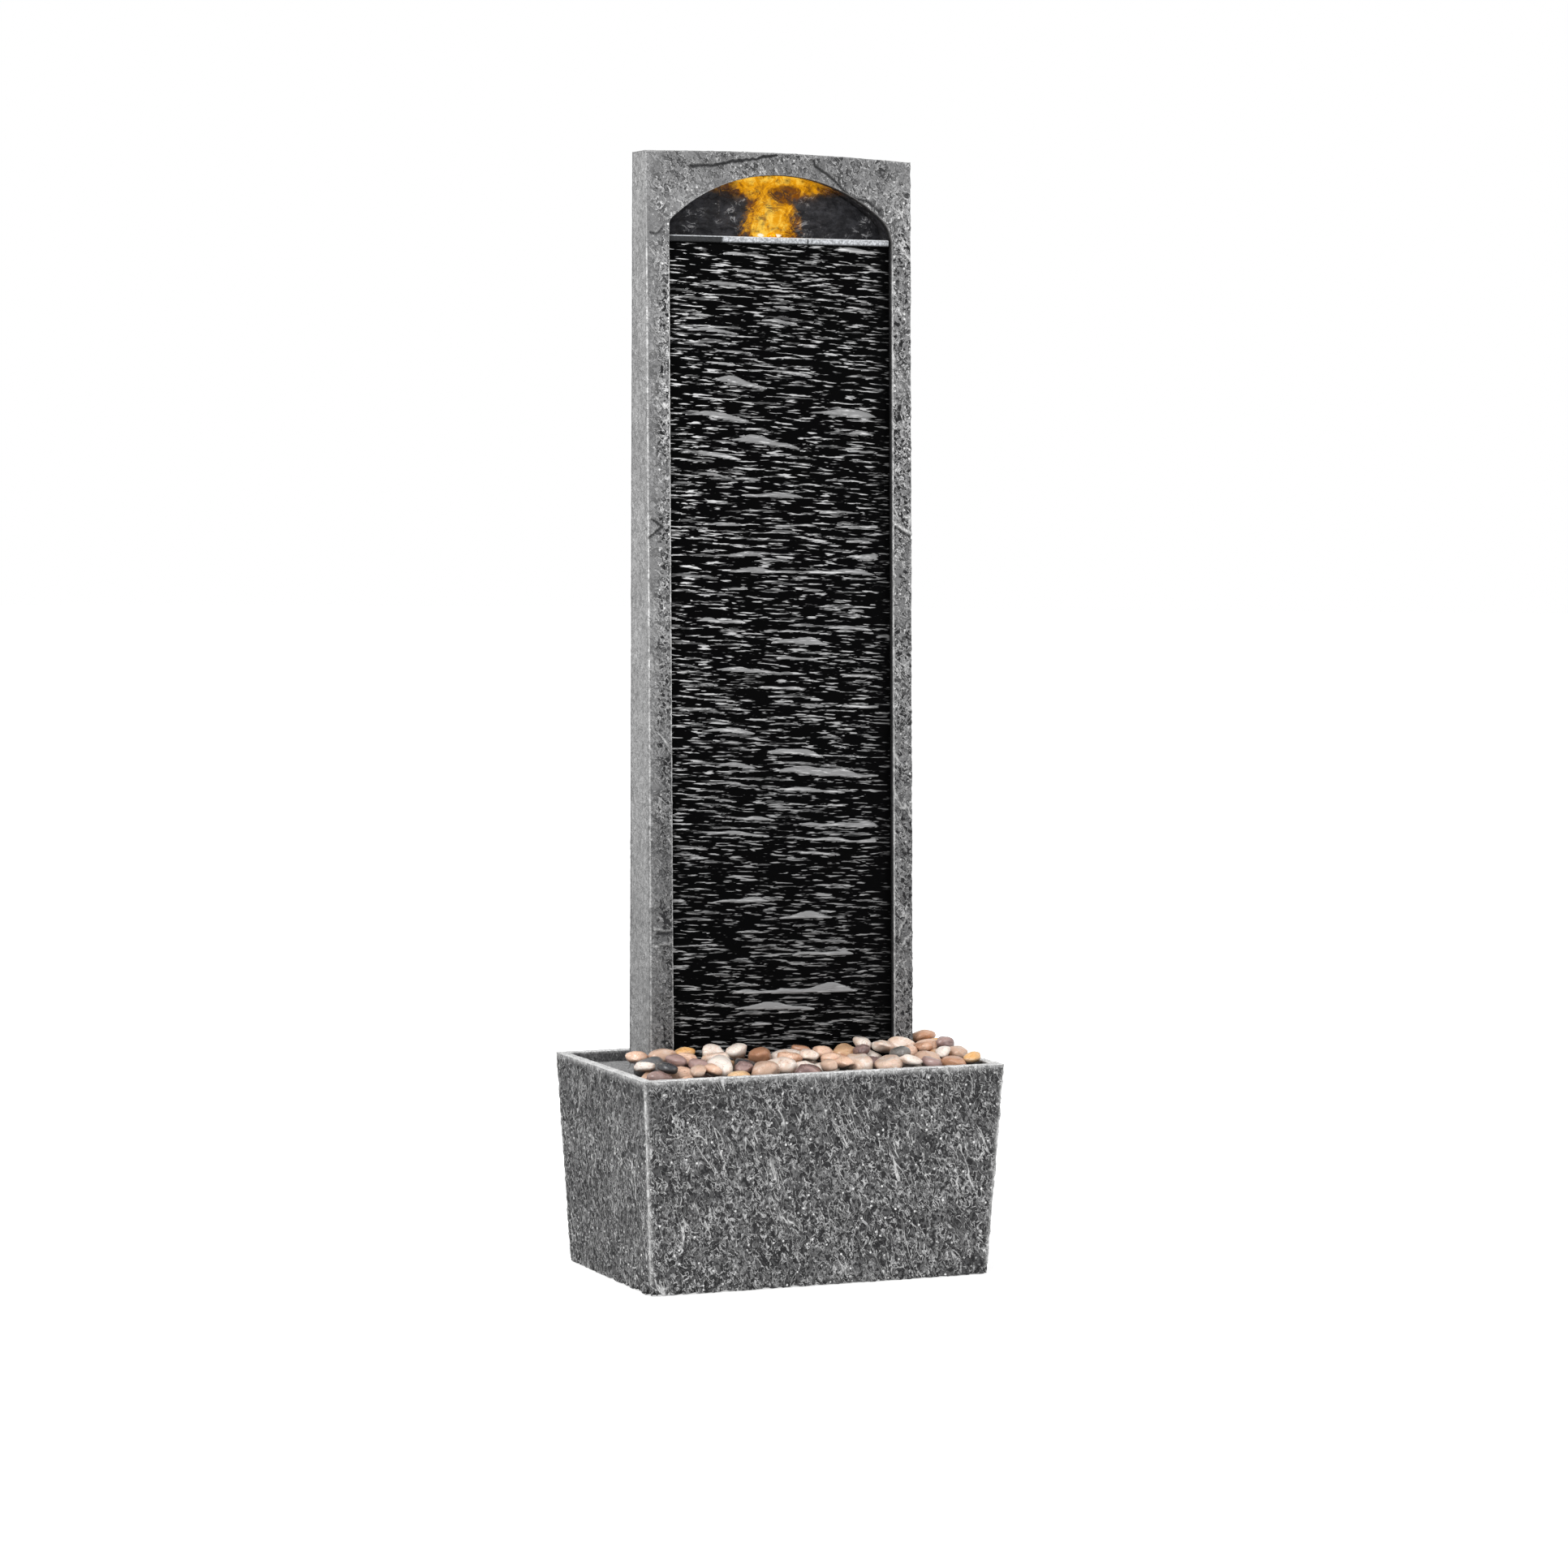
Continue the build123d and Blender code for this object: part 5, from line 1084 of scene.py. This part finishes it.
def tower_grid(sizes):
    """X and Z of the tower's outer outline from foot to foot, and a closed section carried along it.

    The outline's columns lie on level lines up to the arch's centre and on rays from it above. Each row takes a
    share of the ray: the opening, the front face, the rounded edge, the side, the back's rebate and the cavity.
    """
    half = sizes.tower_half
    centre = sizes.arch_centre
    crown = TOWER_HIGH.z
    level = np.linspace(deck_top(sizes) - sizes.deck_thick / 2, centre, LEG_COLUMNS, endpoint=False)

    def top_z(x):
        return crown - sizes.top_bow * ((x - sizes.top_crown) / (half - sizes.top_crown)) ** 2

    def upright(side_x):
        return np.concatenate([level, np.linspace(centre, top_z(side_x), CHEEK_COLUMNS, endpoint=False)])

    top_x = np.linspace(-half, half, TOP_COLUMNS)
    side_x = np.full(LEG_COLUMNS + CHEEK_COLUMNS, half)
    x = np.concatenate([-side_x, top_x, side_x])
    z = np.concatenate([upright(-half), top_z(top_x), upright(half)[::-1]])
    ray_z = np.maximum(z - centre, 0)
    ray = np.hypot(x, ray_z)
    unit_x = x / ray
    unit_z = ray_z / ray

    def box_share(half_width, top):
        across = half_width / np.maximum(np.abs(unit_x), TINY)
        return np.minimum(across, (top - centre) / np.maximum(unit_z, TINY)) / ray

    def row(share, depth=None, y=None):
        row_z = np.minimum(z, centre) + ray_z * share
        row_y = face_y(sizes, row_z, depth) if y is None else np.full(x.shape, y)
        return np.stack([x * share, row_y, row_z], -1)

    hollow = half - sizes.side_wall
    ceiling = crown - sizes.top_wall
    rebate = box_share(hollow + sizes.rebate_lap, ceiling + sizes.rebate_lap)
    cavity = box_share(hollow, ceiling)
    inner = opening_reach(sizes, unit_x, unit_z) / ray
    edge = sizes.tower_edge
    wall = sizes.front_wall
    back = PANEL_HIGH.y
    brim = 1 - edge / ray
    start = inner + TOWER_LIP / ray
    rows = [row(start + (brim - start) * f, 0.0) for f in np.linspace(0, 1, FRONT_ROWS)]
    round_off = np.linspace(0, pi / 2, EDGE_ROWS + 1)[1:]
    rows += [row(brim + (1 - brim) * sin(a), edge * (1 - cos(a))) for a in round_off]
    outer = rows[-1]
    deep = outer.copy()
    deep[:, 1] = back
    rows += [outer + (deep - outer) * f for f in np.linspace(0, 1, SIDE_ROWS)[1:]]
    rows += [row(rebate, y=back), row(rebate, y=PANEL_LOW.y), row(cavity, y=PANEL_LOW.y)]
    rows += [row(cavity, wall), row(inner, wall), row(inner, wall / 2)]
    rows += [row(inner, TOWER_LIP), row(inner + 0.3 * TOWER_LIP / ray, 0.3 * TOWER_LIP)]
    return x, z, np.stack(rows)


def tower_skin(sizes, material):
    """The tower's skin: its section with rough cast, cracks, strokes and a ledge sunk along the normals.

    A cove flares the outer faces at the deck by r - sqrt(r^2 - (r - height)^2).
    """
    x, z, grid = tower_grid(sizes)
    shape = grid.shape[:2]
    front_end = FRONT_ROWS + EDGE_ROWS
    side_end = front_end + SIDE_ROWS - 1
    rough = np.zeros(shape)
    rough[:front_end] = 1.0
    rough[front_end:side_end] = 0.42
    rough[-4:] = 0.3
    is_front = np.zeros(shape)
    is_front[:front_end] = 1.0
    gx = grid[..., 0]
    gz = grid[..., 2]
    calm = smooth(gx + 0.004 * fractal(grid, 0.03, 2, 65), -0.110, -0.122) * is_front
    rough *= 1 - 0.7 * calm
    relief = cast_relief(grid, radians(-35), 0.0042, 1.8, 51)
    waver = 0.0012 * fractal(grid, 0.006, 2, 61)

    def marks(lines, low, high, offset=(0.0, 0.0)):
        place_x = gx + waver - offset[0]
        place_z = gz - waver - offset[1]
        return sum(smooth(near_line(place_x, place_z, line), low, high) for line in lines) * is_front

    crack = marks(CRACKS, *CRACK_WIDTH)
    # A painted highlight beside each crack, up and to the left of it.
    rim = marks(CRACKS, *CRACK_HIGHLIGHT_WIDTH, CRACK_HIGHLIGHT)
    stroke = marks(STROKES, *STROKE_WIDTH)
    above = gz > LEDGE[0][1] + (gx - LEDGE[0][0]) * LEDGE_FALL
    ledge = near_line(gx, gz, LEDGE) * np.where(above, 1, -1)
    lift = ridge(ledge - 0.0008, 0.0022) * is_front
    # Undercut below the ledge, also darkened as painted shade through crack.
    under = ridge(ledge + 0.0018, 0.0018) * is_front
    depth = rough * sizes.tower_relief * (1 - relief)
    depth = depth + CRACK_DEPTH * crack + UNDER_DEPTH * under - LIFT_HEIGHT * lift - STROKE_HEIGHT * stroke
    cove = sizes.foot_cove
    low = np.clip(gz - deck_top(sizes), 0, cove)
    depth[2:side_end] -= (cove - np.sqrt(cove**2 - (cove - low) ** 2))[2:side_end]
    grid = grid - grid_normals(grid, wrap_rows=True) * depth[..., None]
    straight = smooth(z, sizes.arch_centre + 0.10, sizes.arch_centre + 0.08)
    wear = np.zeros(shape)
    wear[front_end - 1:side_end - 1] = 0.28
    wear[FRONT_ROWS:FRONT_ROWS + 3] = np.where(x < 0, 0.30 + 0.30 * straight, 0.15)
    wear[[-2, -1, 0]] = 0.1 + 0.65 * straight
    wear = wear * (0.45 + 0.55 * smooth(fractal(grid, 0.006, 3, 71), -0.4, 0.3))
    # Worn edges, the bare lifted ledge and strokes, and the painted highlights beside the cracks.
    wear = np.maximum.reduce([wear, 0.9 * lift, 0.4 * rim, 0.7 * stroke])
    cloud = fractal(grid, 0.05, 3, 75)
    # Darker towards the bottom of the front and more on its left, the right half a little darker, a darker band
    # along the top and the sides darker low down.
    damp = 0.64 * smooth(gz + 0.05 * cloud, 0.80, 0.22) * np.where(gx < 0, 1.0, 0.5) + 0.08 * (gx > 0)
    damp = np.maximum(damp, 0.25 * smooth(gz, 0.93, 0.955))
    damp = np.where(is_front > 0, damp, 0.12 * smooth(gz, 0.6, 0.2))
    damp = damp + 0.10 * smooth(cloud, 0.0, 0.5) - 0.3 * calm
    # Painted shade in the opening's reveal.
    damp[-4:-2] = 0.9
    patches = smooth(fractal(grid, 0.04, 2, 79), -0.5, 0.1) * smooth(gz, 0.95, 0.90)
    pitted = np.where(is_front > 0, (1.1 + 0.6 * smooth(gz, 0.60, 0.25)) * patches, 0.6)
    index = np.arange(rough.size).reshape(shape)
    faces = grid_faces(*shape, wrap_rows=True).tolist() + index[:, [0, -1]].T.tolist()
    # crack carries the cracks and the painted shade under the ledge.
    piece = make_piece("tower_skin", grid, faces, "tower", "tower_stone", material, rough=rough, relief=relief,
                       wear=wear, crack=np.clip(0.95 * crack + under, 0, 1), damp=np.clip(damp, 0, 1),
                       pitted=pitted)
    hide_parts("tower_shell")


def deck_skin(sizes, material):
    """The deck's skin: a flat ring from its outer edge to the hole under the tower, with drain slots."""
    places, directions = rounded_loop(DECK_SIDES)
    top = deck_top(sizes)
    outer_half = np.array([TOWER_HIGH.x, TOWER_HIGH.y])
    corner = sizes.basin_corner
    outer = places * (outer_half - corner) + directions * corner
    hole_half = np.array([sizes.pass_half, (sizes.pass_back - sizes.pass_front) / 2])
    hole = places * hole_half + np.array([0.0, (sizes.pass_back + sizes.pass_front) / 2])
    taper = 1 - sizes.deck_thick * tan(sizes.basin_draft) / np.hypot(*outer_half)
    upper = [(outer - directions * DECK_EDGE) * (1 - f) + hole * f for f in np.linspace(0, 1, DECK_ROWS[0])]
    lower = [outer * taper * (1 - f) + hole * f for f in np.linspace(1, 0, DECK_ROWS[1])]
    heights = [top] * len(upper) + [DECK_LOW.z] * len(lower) + [top - DECK_EDGE]
    grid = add_heights(np.stack(upper + lower + [outer]), np.array(heights)[:, None])
    shape = grid.shape[:2]
    rough = np.zeros(shape)
    rough[: len(upper) - 1] = 0.5
    relief = cast_relief(grid, 0.0, 0.006, 1.0, 81)
    grid[..., 2] -= rough * DECK_RELIEF * (1 - relief)
    faces = grid_faces(*shape, wrap_rows=True, wrap_columns=True).tolist()
    still = np.zeros(shape)
    piece = make_piece("deck_skin", grid, faces, "tower", "tower_stone", material, rough=rough,
                       relief=relief, wear=still + 0.15, crack=still, damp=still, pitted=still)
    cut_drains(sizes, piece)
    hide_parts("tower_shell")


def cut_drains(sizes, piece):
    """Drain slots in the deck before the tower: round-ended prisms, by arrays of their places."""
    length, width = DRAIN_SLOT
    middle = (sizes.tower_foot - TOWER_HIGH.y) / 2
    turn = np.linspace(-pi / 2, pi / 2, SLOT_STEPS)
    end = np.stack([np.cos(turn), np.sin(turn)], -1) * width / 2 + np.array([(length - width) / 2, 0.0])
    outline = np.concatenate([end, -end])
    steps = np.stack(np.meshgrid(*(np.arange(n) - (n - 1) / 2 for n in DRAIN_COUNT)), -1).reshape(-1, 2)
    flat = outline[None] + (steps * np.array(DRAIN_PITCH) + np.array([0.0, middle]))[:, None]
    ends = np.array([(0.0, 0.0, DECK_LOW.z - CUT_PAST[1]), (0.0, 0.0, deck_top(sizes) + CUT_PAST[1])])
    cut_prisms(piece, "drain_cutter", add_heights(flat, 0.0), ends)


# Cascade


def flakes(x, up, pitch, length, cover, seed):
    """One layer of split flakes on a face: their height from 0 to 1 and their lower edges.

    A height that falls and wavers to the right cuts the face into courses. Along each course slow noise swells
    into long lenses. A lens is highest at its sharp lower edge and thins out upwards.
    """

    def field(x_cell, up_cell, step):
        return noise(np.stack([x / x_cell, up / up_cell, np.zeros(x.shape)], -1), 1.0, seed + step)

    waver = 0.8 * field(3.2 * length, 8 * pitch, 0) + 0.1 * field(0.4 * length, 2 * pitch, 1)
    course = (up + FLAKE_FALL * x) / pitch + waver
    row = np.floor(course)
    over = course - row

    def along(x_cell, step):
        return noise(np.stack([x / x_cell + 9.7 * row, 5.31 * row, np.zeros(x.shape)], -1), 1.0, seed + step)

    swell = along(length, 2) + 0.35 * along(0.35 * length, 3)
    thick = smooth(swell, 0.15 - cover, 1.05 - cover)
    top = 0.06 + 0.52 * thick + 0.08 * field(0.4 * length, pitch, 4)
    body = smooth(over, top + 0.05, top - 0.10) * smooth(thick, 0.01, 0.08)
    edge = ridge(over - 0.07, 0.09) * smooth(thick, 0.02, 0.14)
    return body * (1 - 0.55 * over), edge * smooth(along(0.25 * length, 5), -0.25, 0.25)


def cascade_skin(sizes, material):
    """The cascade: two layers of split flakes raised off a leaning plate, the broad ones towards the right."""
    lean = sizes.tower_lean
    height = (CASCADE_HIGH.z - deck_top(sizes)) / cos(lean)
    x, up = np.meshgrid(
        np.linspace(-sizes.cascade_half, sizes.cascade_half, CASCADE_COLUMNS),
        np.linspace(0.0005, height, CASCADE_ROWS),
    )
    broad, broad_edge = flakes(x, up, *BROAD_FLAKES)
    narrow, narrow_edge = flakes(x, up, *NARROW_FLAKES)
    right = smooth(x, -0.100, -0.02)
    shadow = smooth(x, 0.103, 0.082)
    broad_share = (0.25 + 0.75 * right) * shadow * (0.68 + 0.32 * smooth(up, 0.05, 0.40))
    narrow_share = (1.0 - 0.2 * right) * (0.25 + 0.75 * shadow)
    clear = smooth(x, -sizes.opening_left, 0.001 - sizes.opening_left)
    clear = clear * smooth(x, sizes.opening_right, sizes.opening_right - 0.001)
    # Masks of the painted highlights, fewer towards the bottom.
    dim = 0.4 + 0.6 * smooth(up, 0.0, 0.50)
    edge = np.maximum(0.9 * broad_edge * broad_share, narrow_edge * narrow_share) * dim
    calm = smooth(up, height, height - 0.02)
    rise = np.maximum(broad * broad_share, 0.5 * narrow * narrow_share) * clear * (0.3 + 0.7 * calm)
    dash = (1.0 - 0.3 * right) * (0.3 + 0.7 * shadow) * dim

    def place(depth):
        y = sizes.tower_foot + up * sin(lean) + depth * cos(lean)
        return np.stack([x, y, deck_top(sizes) + up * cos(lean) - depth * sin(lean)], -1)

    front = place(sizes.cascade_depth - sizes.cascade_rise * rise)
    back = place(np.full(x.shape, sizes.cascade_depth + sizes.cascade_plate))
    points, faces = slab(front, back)
    # flake and chip carry the painted sheen of the flakes, and edge and dash their painted highlights.
    piece = make_piece("cascade_face", points, faces, "tower", "wet_slate", material,
                       flake=padded(broad * broad_share * clear), chip=padded(narrow * narrow_share * clear),
                       edge=padded(edge * clear), dash=padded(dash * clear))
    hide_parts("cascade_panel")


# Niche


def niche_face(sizes, material):
    """Split stone on the liner's back wall: a sheet under the arch, raised by warped and stepped noise."""
    grow = NICHE_GROWTH
    radius = sizes.arch_radius
    x = np.linspace(-sizes.opening_left - grow, sizes.opening_right + grow, NICHE_COLUMNS)[None, :]
    rise = np.sqrt(np.maximum((radius + grow) ** 2 - x**2, 0))
    for side, _, blend, centre_x, centre_z in opening_sides(sizes):
        bend = centre_z + np.sqrt(np.maximum((blend + grow) ** 2 - (side * x - centre_x) ** 2, 0))
        rise = np.where(side * x > centre_x * radius / (radius - blend), bend, rise)
    low = LINER_LOW.z + 0.0003
    high = np.maximum(sizes.arch_centre + rise, low + 0.0012)
    z = low + (high - low) * np.linspace(0, 1, NICHE_ROWS)[:, None]
    x = np.broadcast_to(x, z.shape)
    wall = LINER_HIGH.y - LINER_WALL - sizes.niche_gap
    flat = np.stack([x, np.zeros(x.shape), z], -1)
    warp = fractal(flat, 0.02, 3, 141)[..., None] * 0.012
    plates = fractal((flat + warp) * np.array([0.55, 1.0, 1.0]), 0.016, 4, 151)
    steps = np.round(plates * 5) / 5
    relief = np.clip(0.5 + 0.5 * (0.6 * steps + 0.6 * plates), 0, 1)
    lens_room = np.hypot(x, z - LENS_HIGH.z)
    front_y = wall - 0.0006 - sizes.niche_relief * relief * smooth(lens_room, 0.004, 0.014)
    points, faces = slab(np.stack([x, front_y, z], -1), np.stack([x, np.full(x.shape, wall), z], -1))
    make_piece("niche_face", points, faces, "tower", "niche_charcoal", material, relief=padded(relief))


# Pebbles


def solids_of(node):
    """Corners of each separate solid of a frame node.

    Corners at one place share a label, and each edge hands the lower label on until none changes.
    """
    mesh = frame["nodes"][node].data
    corners = np.empty(3 * len(mesh.vertices), np.float32)
    mesh.vertices.foreach_get("co", corners)
    ends = np.empty(2 * len(mesh.edges), np.int32)
    mesh.edges.foreach_get("vertices", ends)
    places, index = np.unique(corners.reshape(-1, 3), axis=0, return_inverse=True)
    ends = index.ravel()[ends].reshape(-1, 2)
    labels = np.arange(len(places))
    while True:
        low = np.minimum(labels[ends[:, 0]], labels[ends[:, 1]])
        lower = labels.copy()
        np.minimum.at(lower, ends[:, 0], low)
        np.minimum.at(lower, ends[:, 1], low)
        lower = lower[lower]
        if np.array_equal(lower, labels):
            return [places[labels == label].astype(float) for label in np.unique(labels)]
        labels = lower


def pebble_grid(corners, random, low, high):
    """One pebble: a filled-out ball of latitude and longitude, flattened by planes and dented by noise.

    It stands on the solid's own axes, a little larger than the solid, and is kept between two corners.
    """
    middle = (corners.min(0) + corners.max(0)) / 2
    axes = np.linalg.eigh(np.cov((corners - middle).T))[1]
    half = np.abs((corners - middle) @ axes).max(0)
    lat, lon = np.meshgrid(
        np.linspace(0, pi, PEBBLE_GRID[0]),
        np.linspace(0, 2 * pi, PEBBLE_GRID[1], endpoint=False),
        indexing="ij",
    )
    ball = np.stack([np.sin(lat) * np.cos(lon), np.sin(lat) * np.sin(lon), np.cos(lat)], -1)
    ball = np.sign(ball) * np.abs(ball) ** PEBBLE_FULL
    reach = np.ones(lat.shape)
    for plane in random.normal(size=(PEBBLE_PLANES, 3)):
        facing = ball @ (plane / np.linalg.norm(plane))
        cap = random.uniform(*PEBBLE_CAP)
        reach = np.minimum(reach, cap / np.maximum(facing, cap))
    shift = random.uniform(0, 50, 3)
    dents = 0.10 * smooth(noise(ball + shift, 0.9), -0.5, 0.6)
    reach *= 1 - dents - 0.03 * smooth(noise(ball - shift, 0.4), -0.5, 0.5)
    return np.clip(middle + PEBBLE_GROWTH * (ball * reach[..., None] * half) @ axes.T, low, high)


def pebble_heap(kind, material, seed, floor):
    """All pebbles of one colour, in one mesh, with a tone of its own for each."""
    node = f"pebbles_{kind}"
    random = np.random.default_rng(seed)
    low = np.array([DECK_LOW.x, DECK_LOW.y, floor]) + PEBBLE_PLAY
    high = np.array([TOWER_HIGH.x, TOWER_HIGH.y, TOWER_HIGH.z]) - PEBBLE_PLAY
    grids = np.stack([pebble_grid(corners, random, low, high) for corners in solids_of(node)])
    tones = random.uniform(0, 1, len(grids))
    starts = np.arange(len(grids)) * PEBBLE_GRID[0] * PEBBLE_GRID[1]
    faces = (grid_faces(*PEBBLE_GRID, wrap_columns=True)[None] + starts[:, None, None]).reshape(-1, 4)
    tone = np.broadcast_to(tones[:, None, None], grids.shape[:3])
    # Share of painted shade, strongest at each pebble's lowest part.
    z = grids[..., 2]
    lowest = z.min((1, 2), keepdims=True)
    under = 0.9 * smooth((z - lowest) / (z.max((1, 2), keepdims=True) - lowest), 0.58, 0.10)
    piece = make_piece(f"{kind}_pebbles", grids, faces.tolist(), frame["nodes"][node]["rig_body"],
                       f"pebble_{kind}", material, tone=tone, under=under)
    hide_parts(node)


# Stage


def add_camera(scene, view):
    """A camera at its place, looking along its turn and pitch, with a roll about that line."""
    ahead = Vector((sin(view.turn) * cos(view.pitch), cos(view.turn) * cos(view.pitch), -sin(view.pitch)))
    level = Vector((cos(view.turn), -sin(view.turn), 0.0))
    upright = level.cross(ahead)
    right = cos(view.roll) * level + sin(view.roll) * upright
    up = cos(view.roll) * upright - sin(view.roll) * level
    data = bpy.data.cameras.new("photo_camera")
    data.sensor_fit = "HORIZONTAL"
    data.sensor_width = 36.0
    data.lens = view.lens
    data.clip_end = 100.0
    scene.camera = linked("photo_camera", data)
    turn = Matrix((right, up, -ahead)).transposed().to_4x4()
    scene.camera.matrix_world = Matrix.Translation(view.place) @ turn


def add_lamp(name, place, size, power):
    """A square soft lamp aimed at the fountain."""
    data = bpy.data.lights.new(name, "AREA")
    data.size = size
    data.energy = power
    aim = (Vector(LAMP_TARGET) - Vector(place)).to_track_quat("-Z", "Y")
    linked(name, data).matrix_world = Matrix.Translation(place) @ aim.to_matrix().to_4x4()


def seen_directly(t):
    """1 for rays of the camera, of reflections and of clear stuff, which see the white backdrop."""
    kinds = ("Camera", "Glossy", "Transmission")
    return t.most(*(t.add("LightPath", output=f"Is {kind} Ray") for kind in kinds))


def add_world(scene, ambient):
    """White where it is seen, and an even light of the ambient strength elsewhere."""
    world = bpy.data.worlds.new("white_room")
    world.use_nodes = True
    t = Tree(world.node_tree)
    t.shade("Background", Color=WHITE, Strength=t.add("MapRange", {0: seen_directly(t), 3: ambient, 4: 1.0}))
    scene.world = world


def add_floor():
    """A wide round floor as a polar grid. Where it is seen it glows enough to be white outside the shadow."""
    radius = np.array(FLOOR_RADII)[:, None]
    turn = np.linspace(0, 2 * pi, FLOOR_STEPS, endpoint=False)[None, :]
    points = add_heights(np.stack([radius * np.cos(turn), radius * np.sin(turn)], -1), -FLOOR_DROP)
    mesh = make_mesh("floor", points, grid_faces(*points.shape[:2], wrap_columns=True).tolist())
    material, t = new_material("pale_floor")
    far = t.add("VectorMath", {0: t.place()}, "Value", operation="LENGTH")
    t.shade(
        Base_Color=t.mix(t.noise(3.0), (0.62, 0.62, 0.62), (0.66, 0.66, 0.66)),
        Roughness=0.9,
        Specular_IOR_Level=0.0,
        Emission_Color=WHITE,
        Emission_Strength=t.step(far, 0.3, 1.6, 0.62, 1.0) * seen_directly(t),
    )
    mesh.materials.append(material)
    floor = linked("floor", mesh)


# Operators


def dress(node, material):
    """Gives a frame node its finish, in each of its material slots."""
    for slot in frame["nodes"][node].material_slots:
        slot.material = material


class FountainOperator:
    """What the fountain's operators share."""

    bl_options = {"REGISTER", "UNDO"}


class FOUNTAIN_OT_stage(FountainOperator, bpy.types.Operator):
    """Add the camera, the soft lamps, the white world and the pale floor."""

    bl_idname = "fountain.stage"
    bl_label = "Stage"

    def execute(self, context):
        view = context.scene.fountain_view
        context.scene.view_settings.view_transform = "Standard"
        add_camera(context.scene, view)
        for name, (place, size) in LAMPS.items():
            add_lamp(f"{name}_lamp", place, size, getattr(view, name))
        add_world(context.scene, view.ambient)
        add_floor()
        return {"FINISHED"}


class FOUNTAIN_OT_basin(FountainOperator, bpy.types.Operator):
    """Add the basin's rough cast skin."""

    bl_idname = "fountain.basin"
    bl_label = "Basin"

    def execute(self, context):
        colours = context.scene.fountain_colours
        material = stone_material("basin_stone_finish", colours.basin_body, colours.basin_crest, colours,
                                  radians(-22), 1.6)
        basin_skin(context.scene.fountain_sizes, material)
        return {"FINISHED"}


class FOUNTAIN_OT_tower(FountainOperator, bpy.types.Operator):
    """Add the skins of the leaning tower and its deck."""

    bl_idname = "fountain.tower"
    bl_label = "Tower and deck"

    def execute(self, context):
        colours = context.scene.fountain_colours
        sizes = context.scene.fountain_sizes
        material = stone_material("tower_stone_finish", colours.tower_body, colours.tower_crest, colours,
                                  radians(-32), 1.3)
        tower_skin(sizes, material)
        deck_skin(sizes, material)
        return {"FINISHED"}


class FOUNTAIN_OT_cascade(FountainOperator, bpy.types.Operator):
    """Add the cascade's face of split wet slate."""

    bl_idname = "fountain.cascade"
    bl_label = "Cascade"

    def execute(self, context):
        cascade_skin(context.scene.fountain_sizes, slate_material(context.scene.fountain_colours))
        return {"FINISHED"}


class FOUNTAIN_OT_niche(FountainOperator, bpy.types.Operator):
    """Add the niche's split face and its light, and finish the liner, the lip and the lens."""

    bl_idname = "fountain.niche"
    bl_label = "Niche and light"

    def execute(self, context):
        colours = context.scene.fountain_colours
        niche_face(context.scene.fountain_sizes, niche_material("niche_face_finish", colours, True))
        dress("niche_liner", niche_material("niche_liner_finish", colours, False))
        dress("spill_trough", lip_material(colours))
        dress("led_lens", lens_material(colours))
        data = bpy.data.lights.new("niche_lamp", "POINT")
        data.color = LAMP_COLOUR
        data.energy = context.scene.fountain_view.lamp
        data.shadow_soft_size = LAMP_SOFTNESS
        lamp = linked("niche_lamp", data)
        lamp.location = (0.0, LENS_LOW.y, LENS_HIGH.z + LAMP_RISE)
        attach(lamp, "tower")
        return {"FINISHED"}


class FOUNTAIN_OT_pebbles(FountainOperator, bpy.types.Operator):
    """Add the pebbles in their five colours."""

    bl_idname = "fountain.pebbles"
    bl_label = "Pebbles"

    def execute(self, context):
        floor = deck_top(context.scene.fountain_sizes)
        for seed, (kind, tones) in enumerate(PEBBLES.items()):
            pebble_heap(kind, pebble_material(f"pebble_{kind}_finish", *tones), seed, floor)
        return {"FINISHED"}


class FOUNTAIN_OT_fittings(FountainOperator, bpy.types.Operator):
    """Finish the back panel, the pump, the hose, the light's supply and the fasteners."""

    bl_idname = "fountain.fittings"
    bl_label = "Fittings"

    def execute(self, context):
        finishes = {slot: moulded_material(*values) for slot, values in FITTINGS.items()}
        finishes["back_panel_grey"] = panel_material()
        for name, node in frame["nodes"].items():
            slot = node.data.materials[0].name if node.data.materials else None
            if slot in finishes:
                dress(name, finishes[slot])
        return {"FINISHED"}


class FOUNTAIN_PT_pieces(bpy.types.Panel):
    """The fountain's pieces, sizes and colours."""

    bl_idname = "FOUNTAIN_PT_pieces"
    bl_label = "Cascading Fountain"
    bl_space_type = "VIEW_3D"
    bl_region_type = "UI"
    bl_category = "Fountain"

    def draw(self, context):
        for operator in OPERATORS:
            self.layout.operator(operator.bl_idname)
        for group in (getattr(context.scene, name) for name in GROUPS):
            box = self.layout.box()
            for name in group.__annotations__:
                box.prop(group, name, text=name.replace("_", " ").capitalize())


OPERATORS = (
    FOUNTAIN_OT_stage,
    FOUNTAIN_OT_basin,
    FOUNTAIN_OT_tower,
    FOUNTAIN_OT_cascade,
    FOUNTAIN_OT_niche,
    FOUNTAIN_OT_pebbles,
    FOUNTAIN_OT_fittings,
)
GROUPS = {
    "fountain_sizes": FountainSizes,
    "fountain_colours": FountainColours,
    "fountain_view": FountainView,
}


def register():
    for kind in (*GROUPS.values(), *OPERATORS, FOUNTAIN_PT_pieces):
        bpy.utils.register_class(kind)
    for name, kind in GROUPS.items():
        setattr(bpy.types.Scene, name, PointerProperty(type=kind))


def unregister():
    for name in GROUPS:
        delattr(bpy.types.Scene, name)
    for kind in reversed((*GROUPS.values(), *OPERATORS, FOUNTAIN_PT_pieces)):
        bpy.utils.unregister_class(kind)


def main():
    register()
    bpy.ops.fountain.stage()
    bpy.ops.fountain.basin()
    bpy.ops.fountain.tower()
    bpy.ops.fountain.cascade()
    bpy.ops.fountain.niche()
    bpy.ops.fountain.pebbles()
    bpy.ops.fountain.fittings()


if __name__ == "__main__":
    main()
